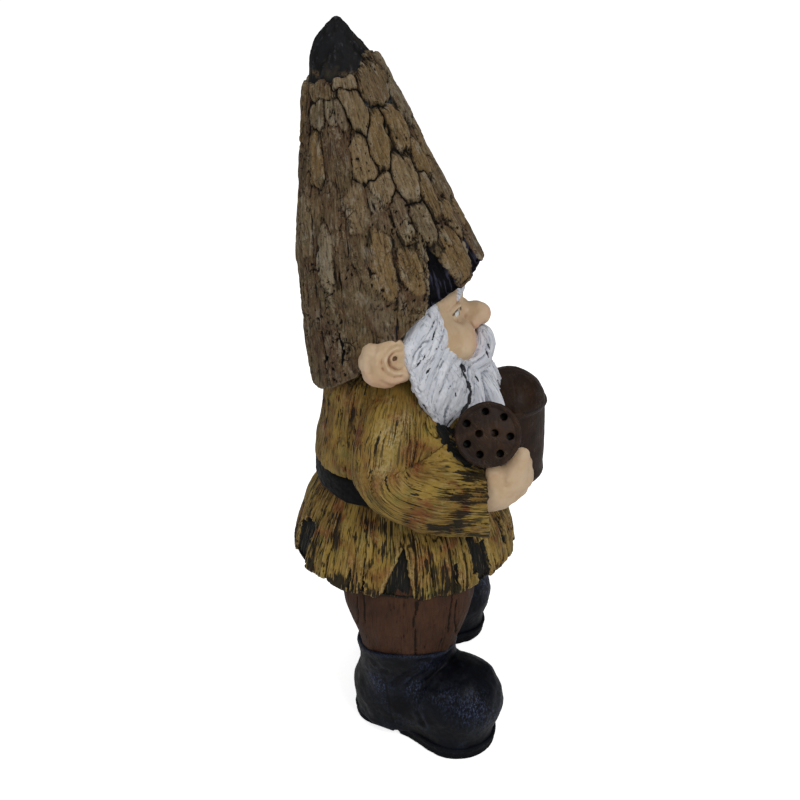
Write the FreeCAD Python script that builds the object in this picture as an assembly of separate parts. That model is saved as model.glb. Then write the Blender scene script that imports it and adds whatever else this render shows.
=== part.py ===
import FreeCAD, Part
import math
import os

# Garden gnome with a watering can, a hollow-cast and hand-painted stone-resin figure.
# Frame: millimetres, +Z up, the figure faces -Y, its right-hand side is -X.
# Origin: on the ground, under the middle of the overall box.
# Shapes are modelled in (x, f, z), where f is the distance towards the front of the middle
# of the jacket. Every shape is moved by SHIFT_Y when it is written.

os.makedirs("parts", exist_ok=True)
Vector = FreeCAD.Vector
X_AXIS, Y_AXIS, Z_AXIS = Vector(1, 0, 0), Vector(0, 1, 0), Vector(0, 0, 1)
RIGHT, LEFT = -1, 1      # sign of x on each side of the figure

# ---------------------------------------------------------------- driving dimensions
H_TOTAL = 508.0          # ground to the tip of the hat
WALL_HAT = 6.0
WALL_JACKET = 7.0
WALL_SKIRT = 8.0
WALL_HEAD = 9.0
GAP = 0.15               # glue gap between neighbouring castings
NOTCH = 3.5              # depth of the carved triangular notches
SHIFT_Y = 14.2           # moves the origin under the middle of the overall box

Z_TIP = 477.0            # bottom of the dark tip casting
TIP_INSET = 1.2          # tip casting inside the hat outline
TIP_SPIGOT_R = 11.0
TIP_SPIGOT_F = -33.5

HEAD_C = (0, -3, 305)    # centre of the skull (x, f, z)
HEAD_HALF = (50.5, 47.0, 52.0)
NECK_R, NECK_F, NECK_Z = 26.0, -4, 248

Z_HEM = 130.0
Z_BELT_LOW, Z_BELT_HIGH = 190.0, 209.0
BELT_R = 60.5
BELT_ROUND = 1.5
WAIST_R = 51.0           # outside of the waist spigot under the jacket body
WAIST_BORE_R = 45.0

Z_UPPER = 8.0            # underside of the boot upper
Z_HEEL = 13.0            # height of the heel block
Z_BOOT_TOP = 80.0
SOCKET = 9.0             # depth of the socket in the boot top
SPLAY_DEG = 28.4         # toes turned out
HEEL_X, HEEL_F = 42.0, -6.0

CAN_X, CAN_F = 8.0, 78.0                 # can axis
CAN_Z0, CAN_Z1 = 182.0, 241.5
CAN_R0, CAN_R1 = 28.0, 26.0              # outer radius at the bottom and at the top
CAN_WALL = 3.0
HOOD_H = 22.5
HOOD_Z = CAN_Z1 + 0.1
ROSE_C = (-75.5, 57.0, 256.0)            # middle of the rose face (x, f, z)
ROSE_N = (-0.93, 0.05, 0.36)             # direction the rose faces (x, f, z)
ROSE_R = 22.0
ROSE_T = 7.0
ROSE_HOLE_R = 2.6

ROD_LEG_D = 8.0
ROD_SPINE_D = 10.0
DOWEL_D = 5.0


# ---------------------------------------------------------------- helpers
def point(x, f, z):
    return Vector(x, -f, z)


def smooth_wire(points):
    curve = Part.BSplineCurve()
    curve.interpolate(points, PeriodicFlag=True)
    return Part.Wire([curve.toShape()])


def ring(x, f, z, half_x, front, back=None, count=20):
    """A level oval round (x, f, z), reaching front and back of its centre."""
    back = front if back is None else back
    points = []
    for i in range(count):
        angle = 2 * math.pi * i / count
        c, s = math.cos(angle), math.sin(angle)
        reach = front if c >= 0 else back
        points.append(point(x + half_x * s, f + reach * c, z))
    return smooth_wire(points)


def plane_ring(centre, u, v, half_u, half_v, count=16, exponent=2.0):
    """A superellipse round centre in the plane of unit vectors u and v."""
    points = []
    for i in range(count):
        angle = 2 * math.pi * i / count
        c, s = math.cos(angle), math.sin(angle)
        along_u = half_u * math.copysign(abs(c) ** (2.0 / exponent), c)
        along_v = half_v * math.copysign(abs(s) ** (2.0 / exponent), s)
        points.append(centre + u * along_u + v * along_v)
    return smooth_wire(points)


def loft(wires):
    solid = Part.makeLoft(wires, True, False)
    if solid.ShapeType != "Solid":
        solid = Part.Solid(solid.Shells[0])
    if solid.Volume < 0:
        solid.reverse()
    return solid


def ring_loft(rows, side=1):
    """Rows: x, f, z, half-width, reach to the front and, where it differs, to the back."""
    return loft([ring(side * x, *rest) for x, *rest in rows])


def section_loft(rows, inset=0.0):
    """Rows: z, back, front (both signed f), half-width. Each is drawn in by inset."""
    return loft([ring(0, (back + front) / 2.0, z, half_x - inset, (front - back) / 2.0 - inset)
                 for z, back, front, half_x in rows])


def sweep(points, radii, up=Z_AXIS):
    """A smooth round limb; up sets the turn of the first section."""
    wires = []
    u = None
    for i, (centre, radius) in enumerate(zip(points, radii)):
        before = points[max(i - 1, 0)]
        after = points[min(i + 1, len(points) - 1)]
        along = (after - before).normalize()
        u = along.cross(up) if u is None else u - along * u.dot(along)
        u = u.normalize()
        v = u.cross(along).normalize()
        wires.append(plane_ring(centre, u, v, radius, radius))
    return loft(wires)


def limb(stations, up=Z_AXIS, side=1):
    """A sweep through rows of x, f, z, radius, with x counted out to the given side."""
    return sweep([point(side * x, f, z) for x, f, z, _ in stations],
                 [row[3] for row in stations], up)


def ellipsoid(x, f, z, half_x, half_f, half_z, yaw=0.0):
    matrix = FreeCAD.Matrix()
    matrix.scale(half_x, half_f, half_z)
    solid = Part.makeSphere(1.0).transformGeometry(matrix)
    solid.rotate(Vector(0, 0, 0), Z_AXIS, yaw)
    solid.translate(point(x, f, z))
    return solid


def upright(radius, height, z, f=0, x=0):
    """A vertical cylinder standing on z."""
    return Part.makeCylinder(radius, height, point(x, f, z))


def rod(start, end, diameter):
    return Part.makeCylinder(diameter / 2.0, (end - start).Length, start, end - start)


def mirror(shape):
    return shape.mirror(Vector(0, 0, 0), X_AXIS)


def biggest(shape):
    return max(shape.Solids, key=lambda solid: solid.Volume)


def cut(shape, *tools):
    for tool in tools:
        shape = shape.cut(tool)
    return biggest(shape)


def polygon_face(points):
    return Part.Face(Part.makePolygon(points + [points[0]]))


def notch(angle, z_base, z_apex, half_w, core, lean=0.0, centre_f=0.0):
    """A radial wedge, point up, angle degrees round from the front towards the figure's
    right, with everything inside core removed. The apex is shifted sideways by lean."""
    turn = math.radians(angle)
    outward = Vector(-math.sin(turn), -math.cos(turn), 0)
    across = Vector(-math.cos(turn), math.sin(turn), 0)
    start = point(0, centre_f, 0) + outward * 20.0
    face = polygon_face([start + across * -half_w + Vector(0, 0, z_base),
                         start + across * half_w + Vector(0, 0, z_base),
                         start + across * lean + Vector(0, 0, z_apex)])
    return face.extrude(outward * 110.0).cut(core)


# ---------------------------------------------------------------- steel armature
def leg_rod(side):
    return rod(point(side * 47, 3, 14), point(side * 20, 1, 236), ROD_LEG_D)


leg_rod_r = leg_rod(RIGHT)
leg_rod_l = leg_rod(LEFT)
spine = rod(point(0, -4, 168), point(0, -10, 392), ROD_SPINE_D)
rods = [leg_rod_r, leg_rod_l, spine]

# ---------------------------------------------------------------- hat
# z, back, front (signed f), half-width
HAT = [
    (256, -61, 61, 59),
    (293, -65, 62, 61.5),
    (323, -67, 60.5, 62),
    (352, -69, 57, 61),
    (366, -69, 49.5, 58),
    (380, -68, 42, 54),
    (393, -67, 35, 50),
    (407, -65.5, 27.5, 46),
    (420, -64.5, 21, 42),
    (433, -64, 14, 38.5),
    (446, -63, 7.5, 34.5),
    (459, -61, 1, 30.5),
    (471, -58, -6, 26),
    (484, -58, -14, 21),
    (496, -55, -24.5, 14.5),
    (503, -48, -31, 8.5),
    (H_TOTAL, -43, -36, 3.5),
]
# brim line seen from the side (f, z), rising from the nape to the peak over the brow
BRIM = [(-64, 262), (-50, 272), (-28, 289), (-14, 305), (-1, 319),
        (12, 331), (29, 341), (45, 347), (58, 351)]
# closes the brim line round everything below it
BELOW_BRIM = [(95, 352), (95, 200), (-95, 200), (-95, 262)]
# angle, z of base, z of apex, half-width, lean
HAT_NOTCHES = [(70, 337, 379, 9, 1), (24, 352, 378, 6, 0),
               (-70, 337, 379, 9, -1), (-24, 352, 378, 6, 0)]

hat_full = section_loft(HAT)
# the cavity stops below the tip and starts lower than the shell
hat_inner = section_loft([(z - 0.5, *rest) for z, *rest in HAT[:12]], WALL_HAT)
below_brim = polygon_face([point(-90, f, z) for f, z in BRIM + BELOW_BRIM])
below_brim = below_brim.extrude(Vector(180, 0, 0))
tip_block = Part.makeBox(200, 200, 60, Vector(-100, -60, Z_TIP))
tip_socket = upright(TIP_SPIGOT_R + GAP, 40.0, Z_TIP - 39.0, TIP_SPIGOT_F)
hat_shell = cut(hat_full, hat_inner, below_brim, tip_block, tip_socket)
hat_core = section_loft(HAT[:14], NOTCH)
hat_shell = cut(hat_shell, *[notch(angle, base, apex, half_w, hat_core, lean, centre_f=-6)
                             for angle, base, apex, half_w, lean in HAT_NOTCHES])

tip_spigot = upright(TIP_SPIGOT_R, 16.0, Z_TIP - 15.0, TIP_SPIGOT_F)
hat_tip = section_loft(HAT, TIP_INSET).common(tip_block)
hat_tip = biggest(hat_tip.fuse(tip_spigot).removeSplitter())

# ---------------------------------------------------------------- head with nose and cheeks
skull = ellipsoid(*HEAD_C, *HEAD_HALF)
cheeks = [ellipsoid(side * 25, 30, 298, 19, 17, 19) for side in (RIGHT, LEFT)]
nose = ellipsoid(0, 49, 309, 11.5, 13.5, 10.5)
neck = upright(NECK_R, 45.0, NECK_Z, NECK_F)
head_solid = biggest(skull.fuse(cheeks + [nose, neck]))
head_inner = ellipsoid(*HEAD_C, *[half - WALL_HEAD for half in HEAD_HALF])
hat_solid = hat_full.cut(below_brim)
head = cut(head_solid, head_inner, hat_shell, spine)

# ---------------------------------------------------------------- jacket body
# z, back, front (signed f), half-width
BODY = [
    (196, -57.5, 57.5, 57.5),
    (204, -60.5, 61.5, 61),
    (214, -60.5, 62.5, 62),
    (231, -57.5, 60, 60.5),
    (247, -55.5, 54, 58),
    (262, -53, 46, 53),
    (275, -48, 38, 46),
    (284, -40, 30, 37),
]
body_out = section_loft(BODY)
# the cavity breaks through the bottom and stops a wall short of the top
cavity_rows = [(BODY[0][0] - 1, *BODY[0][1:])] + BODY[1:-1]
cavity_rows.append((BODY[-1][0] - WALL_JACKET, *BODY[-1][1:]))
body_in = section_loft(cavity_rows, WALL_JACKET)
waist_bore = upright(WAIST_BORE_R, 12.0, 187.0)
waist_spigot = upright(WAIST_R, 8.0, 189.0).cut(waist_bore)
jacket = cut(body_out.cut(body_in).fuse(waist_spigot), waist_bore)
jacket = cut(jacket, head, upright(NECK_R + GAP, 60.0, NECK_Z, NECK_F), spine)

# ---------------------------------------------------------------- skirt of the jacket
# z, back, front (signed f), half-width
SKIRT = [
    (Z_HEM - 2, -78, 84, 84),
    (Z_HEM + 3, -80, 86.5, 86.5),
    (147, -76.5, 84, 81.5),
    (165, -71, 77, 74.5),
    (182, -63.5, 65, 64.5),
    (Z_BELT_LOW, -58, 58.5, 58.5),
]
# centre f, z, half-width, half-depth, before the wall is taken off
SKIRT_CAVITY = [(3, Z_HEM - 4, 84, 81), (3.5, 147, 80, 78), (3, 165, 73, 72), (1, 176, 63, 62)]
# angle, z of apex, half-width
SKIRT_NOTCHES = [(92, 165, 13), (148, 170, 8), (52, 178, 7), (14, 168, 8),
                 (-92, 165, 13), (-148, 170, 8), (-52, 178, 7)]

skirt_out = section_loft(SKIRT)
skirt_in = ring_loft([(0, f, z, half_x - WALL_SKIRT, half_f - WALL_SKIRT)
                      for f, z, half_x, half_f in SKIRT_CAVITY])
skirt = cut(skirt_out, skirt_in, upright(WAIST_R + GAP, 20.0, 184.0), *rods)
skirt_core = section_loft(SKIRT, NOTCH)
skirt = cut(skirt, *[notch(angle, Z_HEM - 6, apex, half_w, skirt_core)
                     for angle, apex, half_w in SKIRT_NOTCHES])

# ---------------------------------------------------------------- belt
belt = upright(BELT_R, Z_BELT_HIGH - Z_BELT_LOW, Z_BELT_LOW, 0.5)
rims = [edge for edge in belt.Edges if edge.Curve.TypeId == "Part::GeomCircle"]
belt = belt.makeFillet(BELT_ROUND, rims)
belt = cut(belt, body_out, upright(WAIST_R + GAP, 40.0, 175.0), skirt_out)

# ---------------------------------------------------------------- trousers
# x, f, z, half-width, half-depth
LEG = [
    (47.5, 5.5, Z_BOOT_TOP - SOCKET + 0.2, 31.5, 32.5),
    (47.0, 5.5, Z_BOOT_TOP, 34.0, 35.0),
    (46.0, 6.0, 94, 38.0, 41.0),
    (44.0, 6.5, 110, 40.5, 46.0),
    (41.0, 5.5, 130, 41.0, 48.0),
    (36.0, 3.0, 152, 38.0, 46.0),
    (30.0, 2.0, 170, 30.0, 40.0),
]
HIPS = [(0, 5, 112, 40, 32), (0, 5, 130, 58, 44), (0, 3, 152, 60, 46), (0, 2, 170, 54, 42)]

trousers = ring_loft(LEG, RIGHT).fuse([ring_loft(LEG, LEFT), ring_loft(HIPS)])
trousers = cut(biggest(trousers.removeSplitter()), skirt, *rods)

# ---------------------------------------------------------------- boots
# sections square to the foot: distance from the heel centre, centre z, half-width, half-height
FOOT = [
    (-27.5, 27, 13, 12), (-24, 29, 20, 19.5), (-14, 31, 25.5, 24), (4, 31, 27.5, 24.0),
    (24, 31, 28.5, 24), (44, 34, 30.5, 27), (60, 36, 31.5, 29), (73, 34.5, 28.5, 26.5),
    (82, 31, 21.5, 20.5), (86.5, 28, 12, 12),
]
# x, f, z, half-width, half-depth
SHAFT = [
    (44.5, 1.5, 14, 29, 30),
    (46.0, 4.0, 36, 31.0, 32.5),
    (47.0, 5.0, 58, 33.5, 34),
    (47.0, 5.5, Z_BOOT_TOP, 36.5, 37.0),
]
# half outline of the sole: distance from the heel centre, half-width
SOLE = [(-29.5, 8), (-25, 19), (-14, 26.5), (2, 28.0), (20, 27.5), (38, 29.5),
        (56, 33.5), (70, 32), (80, 25), (86, 14), (88.5, 5)]
HEEL_FRONT = 12          # front of the heel block, from the heel centre


def boot(side, steel):
    """Upper and sole of a boot, splayed outwards; steel is the rod through it."""
    splay = math.radians(SPLAY_DEG)
    heel_c = point(side * HEEL_X, HEEL_F, 0)
    toward_toe = Vector(side * math.sin(splay), -math.cos(splay), 0)
    across = Vector(-toward_toe.y, toward_toe.x, 0)

    def place(along, up=0.0, sideways=0.0):
        return heel_c + toward_toe * along + across * sideways + Z_AXIS * up

    def slice_block(start, end, height):
        """A block from the ground up, between two distances along the foot."""
        corners = [(start, -60), (end, -60), (end, 60), (start, 60)]
        face = polygon_face([place(along, 0, sideways) for along, sideways in corners])
        return face.extrude(Vector(0, 0, height))

    foot = loft([plane_ring(place(along, z), across, Z_AXIS, half_w, half_h, 18, 2.35)
                 for along, z, half_w, half_h in FOOT])
    upper = biggest(foot.fuse(ring_loft(SHAFT, side)).removeSplitter())
    upper = cut(upper, Part.makeBox(400, 400, Z_UPPER, Vector(-200, -200, 0)))

    outline = [place(along, 0, half_w) for along, half_w in SOLE]
    outline += [place(along, 0, -half_w) for along, half_w in reversed(SOLE)]
    slab = Part.Face(smooth_wire(outline)).extrude(Vector(0, 0, Z_HEEL))
    heel = slab.common(slice_block(-40, HEEL_FRONT, Z_HEEL))
    # the fore sole is thinner, and raised off the ground just ahead of the heel
    fore = slab.common(slice_block(HEEL_FRONT, 110, Z_UPPER + 1.5))
    fore = fore.cut(slice_block(HEEL_FRONT, 22, 4.5))
    sole = biggest(heel.fuse(fore).removeSplitter())

    upper = cut(upper, sole)
    # the trouser leg forms the socket in the boot top
    return cut(upper, ring_loft(LEG, side), steel), sole


boot_r, sole_r = boot(RIGHT, leg_rod_r)
boot_l, sole_l = boot(LEFT, leg_rod_l)

# ---------------------------------------------------------------- sleeves and hands
# x outwards, f, z, radius
UPPER_ARM = [(40, -4, 262, 17), (54, -6, 252, 22.5), (65, -8, 238, 24.0), (71, -8, 224, 23.5)]
FOREARM = [(72, -9, 219, 22.5), (75, 6, 217, 25.0), (75, 24, 213, 24.5),
           (73, 41, 207, 22.5), (71, 58, 202, 21.5)]
WRIST = [(70.5, 52.5, 202.5, 11), (68, 63, 204, 12)]
FINGERS = [(63, 75, 209, 14.5), (57, 84, 219, 13.5), (51, 85, 230, 10.0), (47, 83, 239, 4.5)]
THUMB = [(66, 66, 210, 7.5), (63, 61, 222, 7.0), (59, 58, 234, 5.8), (57, 58, 239, 3.0)]

elbow = ellipsoid(-72, -7, 220, 24.5, 25.0, 24.5)
sleeve_r = biggest(limb(UPPER_ARM, Y_AXIS, RIGHT).fuse([limb(FOREARM, side=RIGHT), elbow]))
sleeve_l = mirror(sleeve_r)


def hand(side, shift_f, shift_z):
    """The fingers wrap up round the can as one mitten shape, the thumb lies behind.
    The wrist stays in place, the rest is moved by the shifts."""
    def shifted(stations):
        return [(x, f + shift_f, z + shift_z, radius) for x, f, z, radius in stations]

    fingers = limb(WRIST + shifted(FINGERS), X_AXIS, side)
    return biggest(fingers.fuse(limb(shifted(THUMB), X_AXIS, side)))


# ---------------------------------------------------------------- watering can body and hood
can_h = CAN_Z1 - CAN_Z0
can_out = Part.makeCone(CAN_R0, CAN_R1, can_h, point(CAN_X, CAN_F, CAN_Z0))
can_in = Part.makeCone(CAN_R0 - CAN_WALL, CAN_R1 - CAN_WALL, can_h,
                       point(CAN_X, CAN_F, CAN_Z0 + CAN_WALL))
foot_ring = upright(CAN_R0 + 1.2, 4.0, CAN_Z0, CAN_F, CAN_X).cut(
    upright(CAN_R0 - 1, 6.0, CAN_Z0 - 1, CAN_F, CAN_X))
rim_ring = upright(CAN_R1 + 1.5, 3.5, CAN_Z1 - 3.5, CAN_F, CAN_X).cut(
    upright(CAN_R1 - CAN_WALL, 6.0, CAN_Z1 - 4.5, CAN_F, CAN_X))
can_body = biggest(can_out.cut(can_in).fuse([foot_ring, rim_ring]).removeSplitter())

# the hood is the part of a dome over the spout side of the mouth
hood_out = ellipsoid(CAN_X, CAN_F, HOOD_Z, CAN_R1 + 0.8, CAN_R1 + 0.8, HOOD_H)
hood_in = ellipsoid(CAN_X, CAN_F, HOOD_Z, CAN_R1 - 2.2, CAN_R1 - 2.2, HOOD_H - 3.0)
spout_side = Part.makeBox(66, 120, 60, point(CAN_X - 60, CAN_F + 60, HOOD_Z))
can_hood = biggest(hood_out.cut(hood_in).common(spout_side))

# ---------------------------------------------------------------- spout and rose
rose_c = point(*ROSE_C)
rose_n = point(*ROSE_N).normalize()
# the spout runs from low on the body to the back of the rose
spout_path = [point(CAN_X - 22, CAN_F - 5, CAN_Z0 + 20),
              point(CAN_X - 46, CAN_F - 12, CAN_Z0 + 46),
              rose_c - rose_n * (ROSE_T + 9.5)]
spout_end = rose_c - rose_n * (ROSE_T - 0.1)
spout_out = sweep(spout_path + [spout_end], [10.5, 9.0, 9.0, 14.0], Y_AXIS)
spout_in = sweep(spout_path + [spout_end + rose_n * 0.5], [7.5, 6.2, 6.2, 11.0], Y_AXIS)
can_spout = cut(spout_out, spout_in, can_out)

# distance behind the face, radius
ROSE_SECTIONS = [(ROSE_T, 15.5), (3.0, ROSE_R - 1.0), (1.2, ROSE_R), (0, ROSE_R - 0.6)]
# hole centres on the disc: towards the front, up
ROSE_HOLES = [(-1.8, 15.4), (10.4, 11.8), (14.6, -1.0), (8.0, -12.2), (-5.4, -12.8),
              (-13.8, -6.0), (-14.2, 7.6), (-6.0, 0.8), (4.2, 1.2)]
ROSE_DOME_R = 60.0
ROSE_DOME_H = 1.4

rose_back = rose_n.cross(Z_AXIS).normalize()      # in the disc, towards the figure's back
rose_down = rose_n.cross(rose_back).normalize()   # in the disc, downwards
rose = loft([plane_ring(rose_c - rose_n * depth, rose_back, rose_down, radius, radius)
             for depth, radius in ROSE_SECTIONS])
rose_dome = Part.makeSphere(ROSE_DOME_R, rose_c + rose_n * (ROSE_DOME_H - ROSE_DOME_R))
rose_dome = rose_dome.common(
    Part.makeCylinder(ROSE_R - 1.5, 4.0, rose_c - rose_n * 2.0, rose_n))
rose = biggest(rose.fuse(rose_dome))
holes = []
for front, up in ROSE_HOLES:
    bottom = rose_c - rose_back * front - rose_down * up - rose_n * 3.2
    holes.append(Part.makeCylinder(ROSE_HOLE_R, 12.0, bottom, rose_n))
can_rose = cut(rose, *holes)

# ---------------------------------------------------------------- can handle
# a loop on the far side from the spout: x beyond CAN_R0, height above CAN_Z0, radius
HANDLE = [(-4.0, 12, 3.8), (6, 13, 3.6), (14, 24, 3.6), (16, 38, 3.6), (12, 51, 3.6),
          (3, 55.5, 3.6), (CAN_R1 - CAN_R0 - 4.0, 53, 3.8)]
can_handle = limb([(CAN_X + CAN_R0 + x, CAN_F, CAN_Z0 + z, radius)
                   for x, z, radius in HANDLE], Y_AXIS)
can_handle = cut(can_handle, can_out, rim_ring)

# ---------------------------------------------------------------- fit of hands and sleeves
hand_r = cut(hand(RIGHT, 0.0, 0.0), can_out, spout_out, rose)
hand_l = cut(hand(LEFT, 1.5, 2.0), can_out, can_handle, foot_ring)
dowel_r = rod(point(-71, 50, 202.3), point(-66.5, 66, 203.5), DOWEL_D)
dowel_l = mirror(dowel_r)
hand_r = cut(hand_r, dowel_r)
hand_l = cut(hand_l, dowel_l)
waist_clear = upright(49, 40, 184)
sleeve_r = cut(sleeve_r, body_out, belt, skirt_out, hand_r, dowel_r, rose, can_spout,
               waist_clear)
sleeve_l = cut(sleeve_l, body_out, belt, skirt_out, hand_l, dowel_l, waist_clear)

# ---------------------------------------------------------------- moustache, beard, brows, ears
# x outwards, f, z, radius
MOUSTACHE = [(0, 58, 296, 8.5), (10, 58, 289, 9.5), (22, 50, 281, 8.5),
             (31, 42, 280, 6.0), (36, 35, 286, 2.5)]
BROW = [(4, 46, 326, 4.0), (11, 45, 329, 4.6), (18, 42.5, 330, 4.0), (25, 38, 328, 2.2)]
# x, f, z, half-width, reach to the front, reach to the back
BEARD = [
    (0, 12, 322, 46, 28, 14),
    (0, 14, 308, 56, 34, 16),
    (0, 20, 292, 58.5, 38, 16),
    (0, 26, 276, 57.5, 42, 20),
    (0, 32, 260, 53, 43, 22),
    (0, 38, 245, 42, 36, 20),
    (0, 42, 232, 26, 26, 14),
    (0, 44, 224, 12, 14, 8),
]
moustache_half = limb(MOUSTACHE, side=RIGHT)
moustache = biggest(moustache_half.fuse(mirror(moustache_half)))
brow_r = cut(limb(BROW, side=RIGHT), head_solid, hat_shell)
brow_l = mirror(brow_r)

face_window = ellipsoid(0, 62, 310, 34, 46, 26)
beard = cut(ring_loft(BEARD), face_window, head_solid, hat_solid, body_out)
# the ears are set into the sides of the head under the brim
ear_r = ellipsoid(-58, -11, 299, 12, 16.5, 18.0, yaw=8)
ear_r = cut(ear_r, head_solid, hat_shell, beard, body_out)
ear_l = mirror(ear_r)
beard = cut(beard, moustache, sleeve_r, sleeve_l, can_out, rim_ring, hood_out, spout_out,
            rose, hand_r, hand_l)
moustache = cut(moustache, head_solid, can_out, hood_out)

# ---------------------------------------------------------------- export
pieces = {
    "hat_shell": hat_shell,
    "hat_tip": hat_tip,
    "head": head,
    "right_ear": ear_r,
    "left_ear": ear_l,
    "right_eyebrow": brow_r,
    "left_eyebrow": brow_l,
    "moustache": moustache,
    "beard": beard,
    "jacket_body": jacket,
    "jacket_skirt": skirt,
    "belt": belt,
    "right_sleeve": sleeve_r,
    "left_sleeve": sleeve_l,
    "right_hand": hand_r,
    "left_hand": hand_l,
    "trousers": trousers,
    "right_boot": boot_r,
    "left_boot": boot_l,
    "right_sole": sole_r,
    "left_sole": sole_l,
    "can_body": can_body,
    "can_hood": can_hood,
    "can_spout": can_spout,
    "can_rose": can_rose,
    "can_handle": can_handle,
    "right_leg_rod": leg_rod_r,
    "left_leg_rod": leg_rod_l,
    "spine_rod": spine,
    "wrist_dowels": Part.makeCompound([dowel_r, dowel_l]),
}
for name, shape in pieces.items():
    shape.translate(Vector(0, SHIFT_Y, 0))
    shape.exportStep(os.path.join("parts", name + ".step"))
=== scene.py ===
"""The looks of a carved and painted gnome in a pointed hat, holding a watering can.

Shapes are worked out in millimetres in the figure's own axes (x, fore, z): x is negative on the
figure's right, fore points ahead of it and z is up. In the scene y = SHIFT - fore, in metres, so
the figure faces -y. Angles round the figure start ahead of it and grow towards its right.
"""
import bpy
import math
import numpy as np
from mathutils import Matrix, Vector


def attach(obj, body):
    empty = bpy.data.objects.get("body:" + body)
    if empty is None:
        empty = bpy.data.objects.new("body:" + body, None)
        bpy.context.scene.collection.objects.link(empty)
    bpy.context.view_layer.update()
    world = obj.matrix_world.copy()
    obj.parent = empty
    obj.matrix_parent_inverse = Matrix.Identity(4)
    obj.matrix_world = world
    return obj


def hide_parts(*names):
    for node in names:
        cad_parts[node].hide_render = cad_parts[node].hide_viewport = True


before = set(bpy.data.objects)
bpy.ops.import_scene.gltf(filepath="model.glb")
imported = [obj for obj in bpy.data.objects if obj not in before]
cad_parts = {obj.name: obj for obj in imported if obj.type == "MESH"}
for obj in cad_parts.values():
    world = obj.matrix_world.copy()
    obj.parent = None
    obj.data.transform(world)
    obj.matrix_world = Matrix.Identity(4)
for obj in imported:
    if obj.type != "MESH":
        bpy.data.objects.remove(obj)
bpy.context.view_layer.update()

SHIFT = 14.2            # mm, the scene's y of the figure's middle
LOFT_SCALE = 0.93       # brings a section's relative distance close to a true one
FULL_TURN = 2 * math.pi


# ------------------------------------------------------------------ noise and curves
def lattice(ix, iy, iz, seed):
    """Pseudo-random values 0..1 at whole-numbered points."""
    bits = (ix * 73856093) ^ (iy * 19349663) ^ (iz * 83492791) ^ (seed * 2654435761)
    bits &= 0xffffffff
    bits = ((bits ^ (bits >> 15)) * 2246822519) & 0xffffffff
    bits = ((bits ^ (bits >> 13)) * 3266489917) & 0xffffffff
    bits ^= bits >> 16
    return (bits & 0xffffff).astype(np.float32) / 16777215.0


def value_noise(points, seed):
    """Smooth value noise 0..1 with a cell of 1."""
    base = np.floor(points)
    part = points - base
    part = part * part * part * (part * (part * 6 - 15) + 10)
    base = base.astype(np.int64)
    total = 0.0
    for corner in np.ndindex(2, 2, 2):
        wx, wy, wz = (part[:, i] if corner[i] else 1 - part[:, i] for i in range(3))
        at = [base[:, i] + corner[i] for i in range(3)]
        total = total + wx * wy * wz * lattice(*at, seed)
    return total


def noise(points, size, seed, octaves=1):
    """Noise 0..1 whose cells measure size, one number or one per axis."""
    points = np.asarray(points) / np.array(size)
    gain, total, weight = 1.0, 0.0, 0.0
    for octave in range(octaves):
        shifted = points * 2.03 ** octave + 17.3 * octave
        total = total + gain * value_noise(shifted, seed + octave)
        weight += gain
        gain *= 0.5
    return total / weight


def ripple(points, size, seed, octaves=2):
    """Noise centred on 0, from -0.5 to 0.5."""
    return noise(points, size, seed, octaves) - 0.5


def clip01(values):
    return np.clip(values, 0, 1)


def smooth(start, end, value):
    """0 before start, 1 past end, eased between; start may be the larger."""
    share = clip01((value - start) / (end - start))
    return share * share * (3 - 2 * share)


def thin(wave, width):
    """1 on the lines where a ripple crosses 0, falling to 0 at width."""
    return clip01(1 - np.abs(wave) / width)


def spot(points, centre, radii):
    """A soft round spot, 1 at its centre."""
    return np.exp(-(((points - np.array(centre)) / np.array(radii)) ** 2).sum(1))


def highest(*values):
    result = values[0]
    for value in values[1:]:
        result = np.maximum(result, value)
    return result


def curve(stations, values):
    """A function through a table, run on straight past its ends and smoothed over 4 mm."""
    stations, values = np.array(stations, float), np.array(values, float)
    fine = np.arange(stations[0] - 30, stations[-1] + 31, 1.0)
    start = (values[1] - values[0]) / (stations[1] - stations[0])
    end = (values[-1] - values[-2]) / (stations[-1] - stations[-2])
    level = np.interp(fine, stations, values)
    level = np.where(fine < stations[0], values[0] + start * (fine - stations[0]), level)
    level = np.where(fine > stations[-1], values[-1] + end * (fine - stations[-1]), level)
    kernel = np.exp(-0.5 * (np.arange(-12, 13) / 4.0) ** 2)
    kernel /= kernel.sum()
    padded = np.pad(level, 12, mode="reflect", reflect_type="odd")
    level = np.convolve(padded, kernel, mode="valid")
    return lambda at: np.interp(at, fine, level)


def section_curves(table):
    """From rows of z, back, front, half-width: the centre, half-depth and half-width over z."""
    z, back, front, width = np.array(table, float).T
    return curve(z, (back + front) / 2), curve(z, (front - back) / 2), curve(z, width)


def mean_radius(section, z):
    return (section[2](z) + section[1](z)) / 2


def resample(points, radii, steps):
    """Catmull-Rom through the points, with the radii (or one radius) run along it."""
    points = np.array(points, float)
    radii = np.broadcast_to(np.array(radii, float), (len(points),))
    padded = np.vstack([2 * points[0] - points[1], points, 2 * points[-1] - points[-2]])
    out, out_radii = [], []
    for i in range(1, len(padded) - 2):
        for step in range(steps):
            t = step / steps
            weights = np.array([-t ** 3 + 2 * t ** 2 - t, 3 * t ** 3 - 5 * t ** 2 + 2,
                                -3 * t ** 3 + 4 * t ** 2 + t, t ** 3 - t ** 2]) / 2
            out.append(weights @ padded[i - 1:i + 3])
            out_radii.append(radii[i - 1] * (1 - t) + radii[i] * t)
    return np.array(out + [points[-1]]), np.array(out_radii + [radii[-1]])


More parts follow.
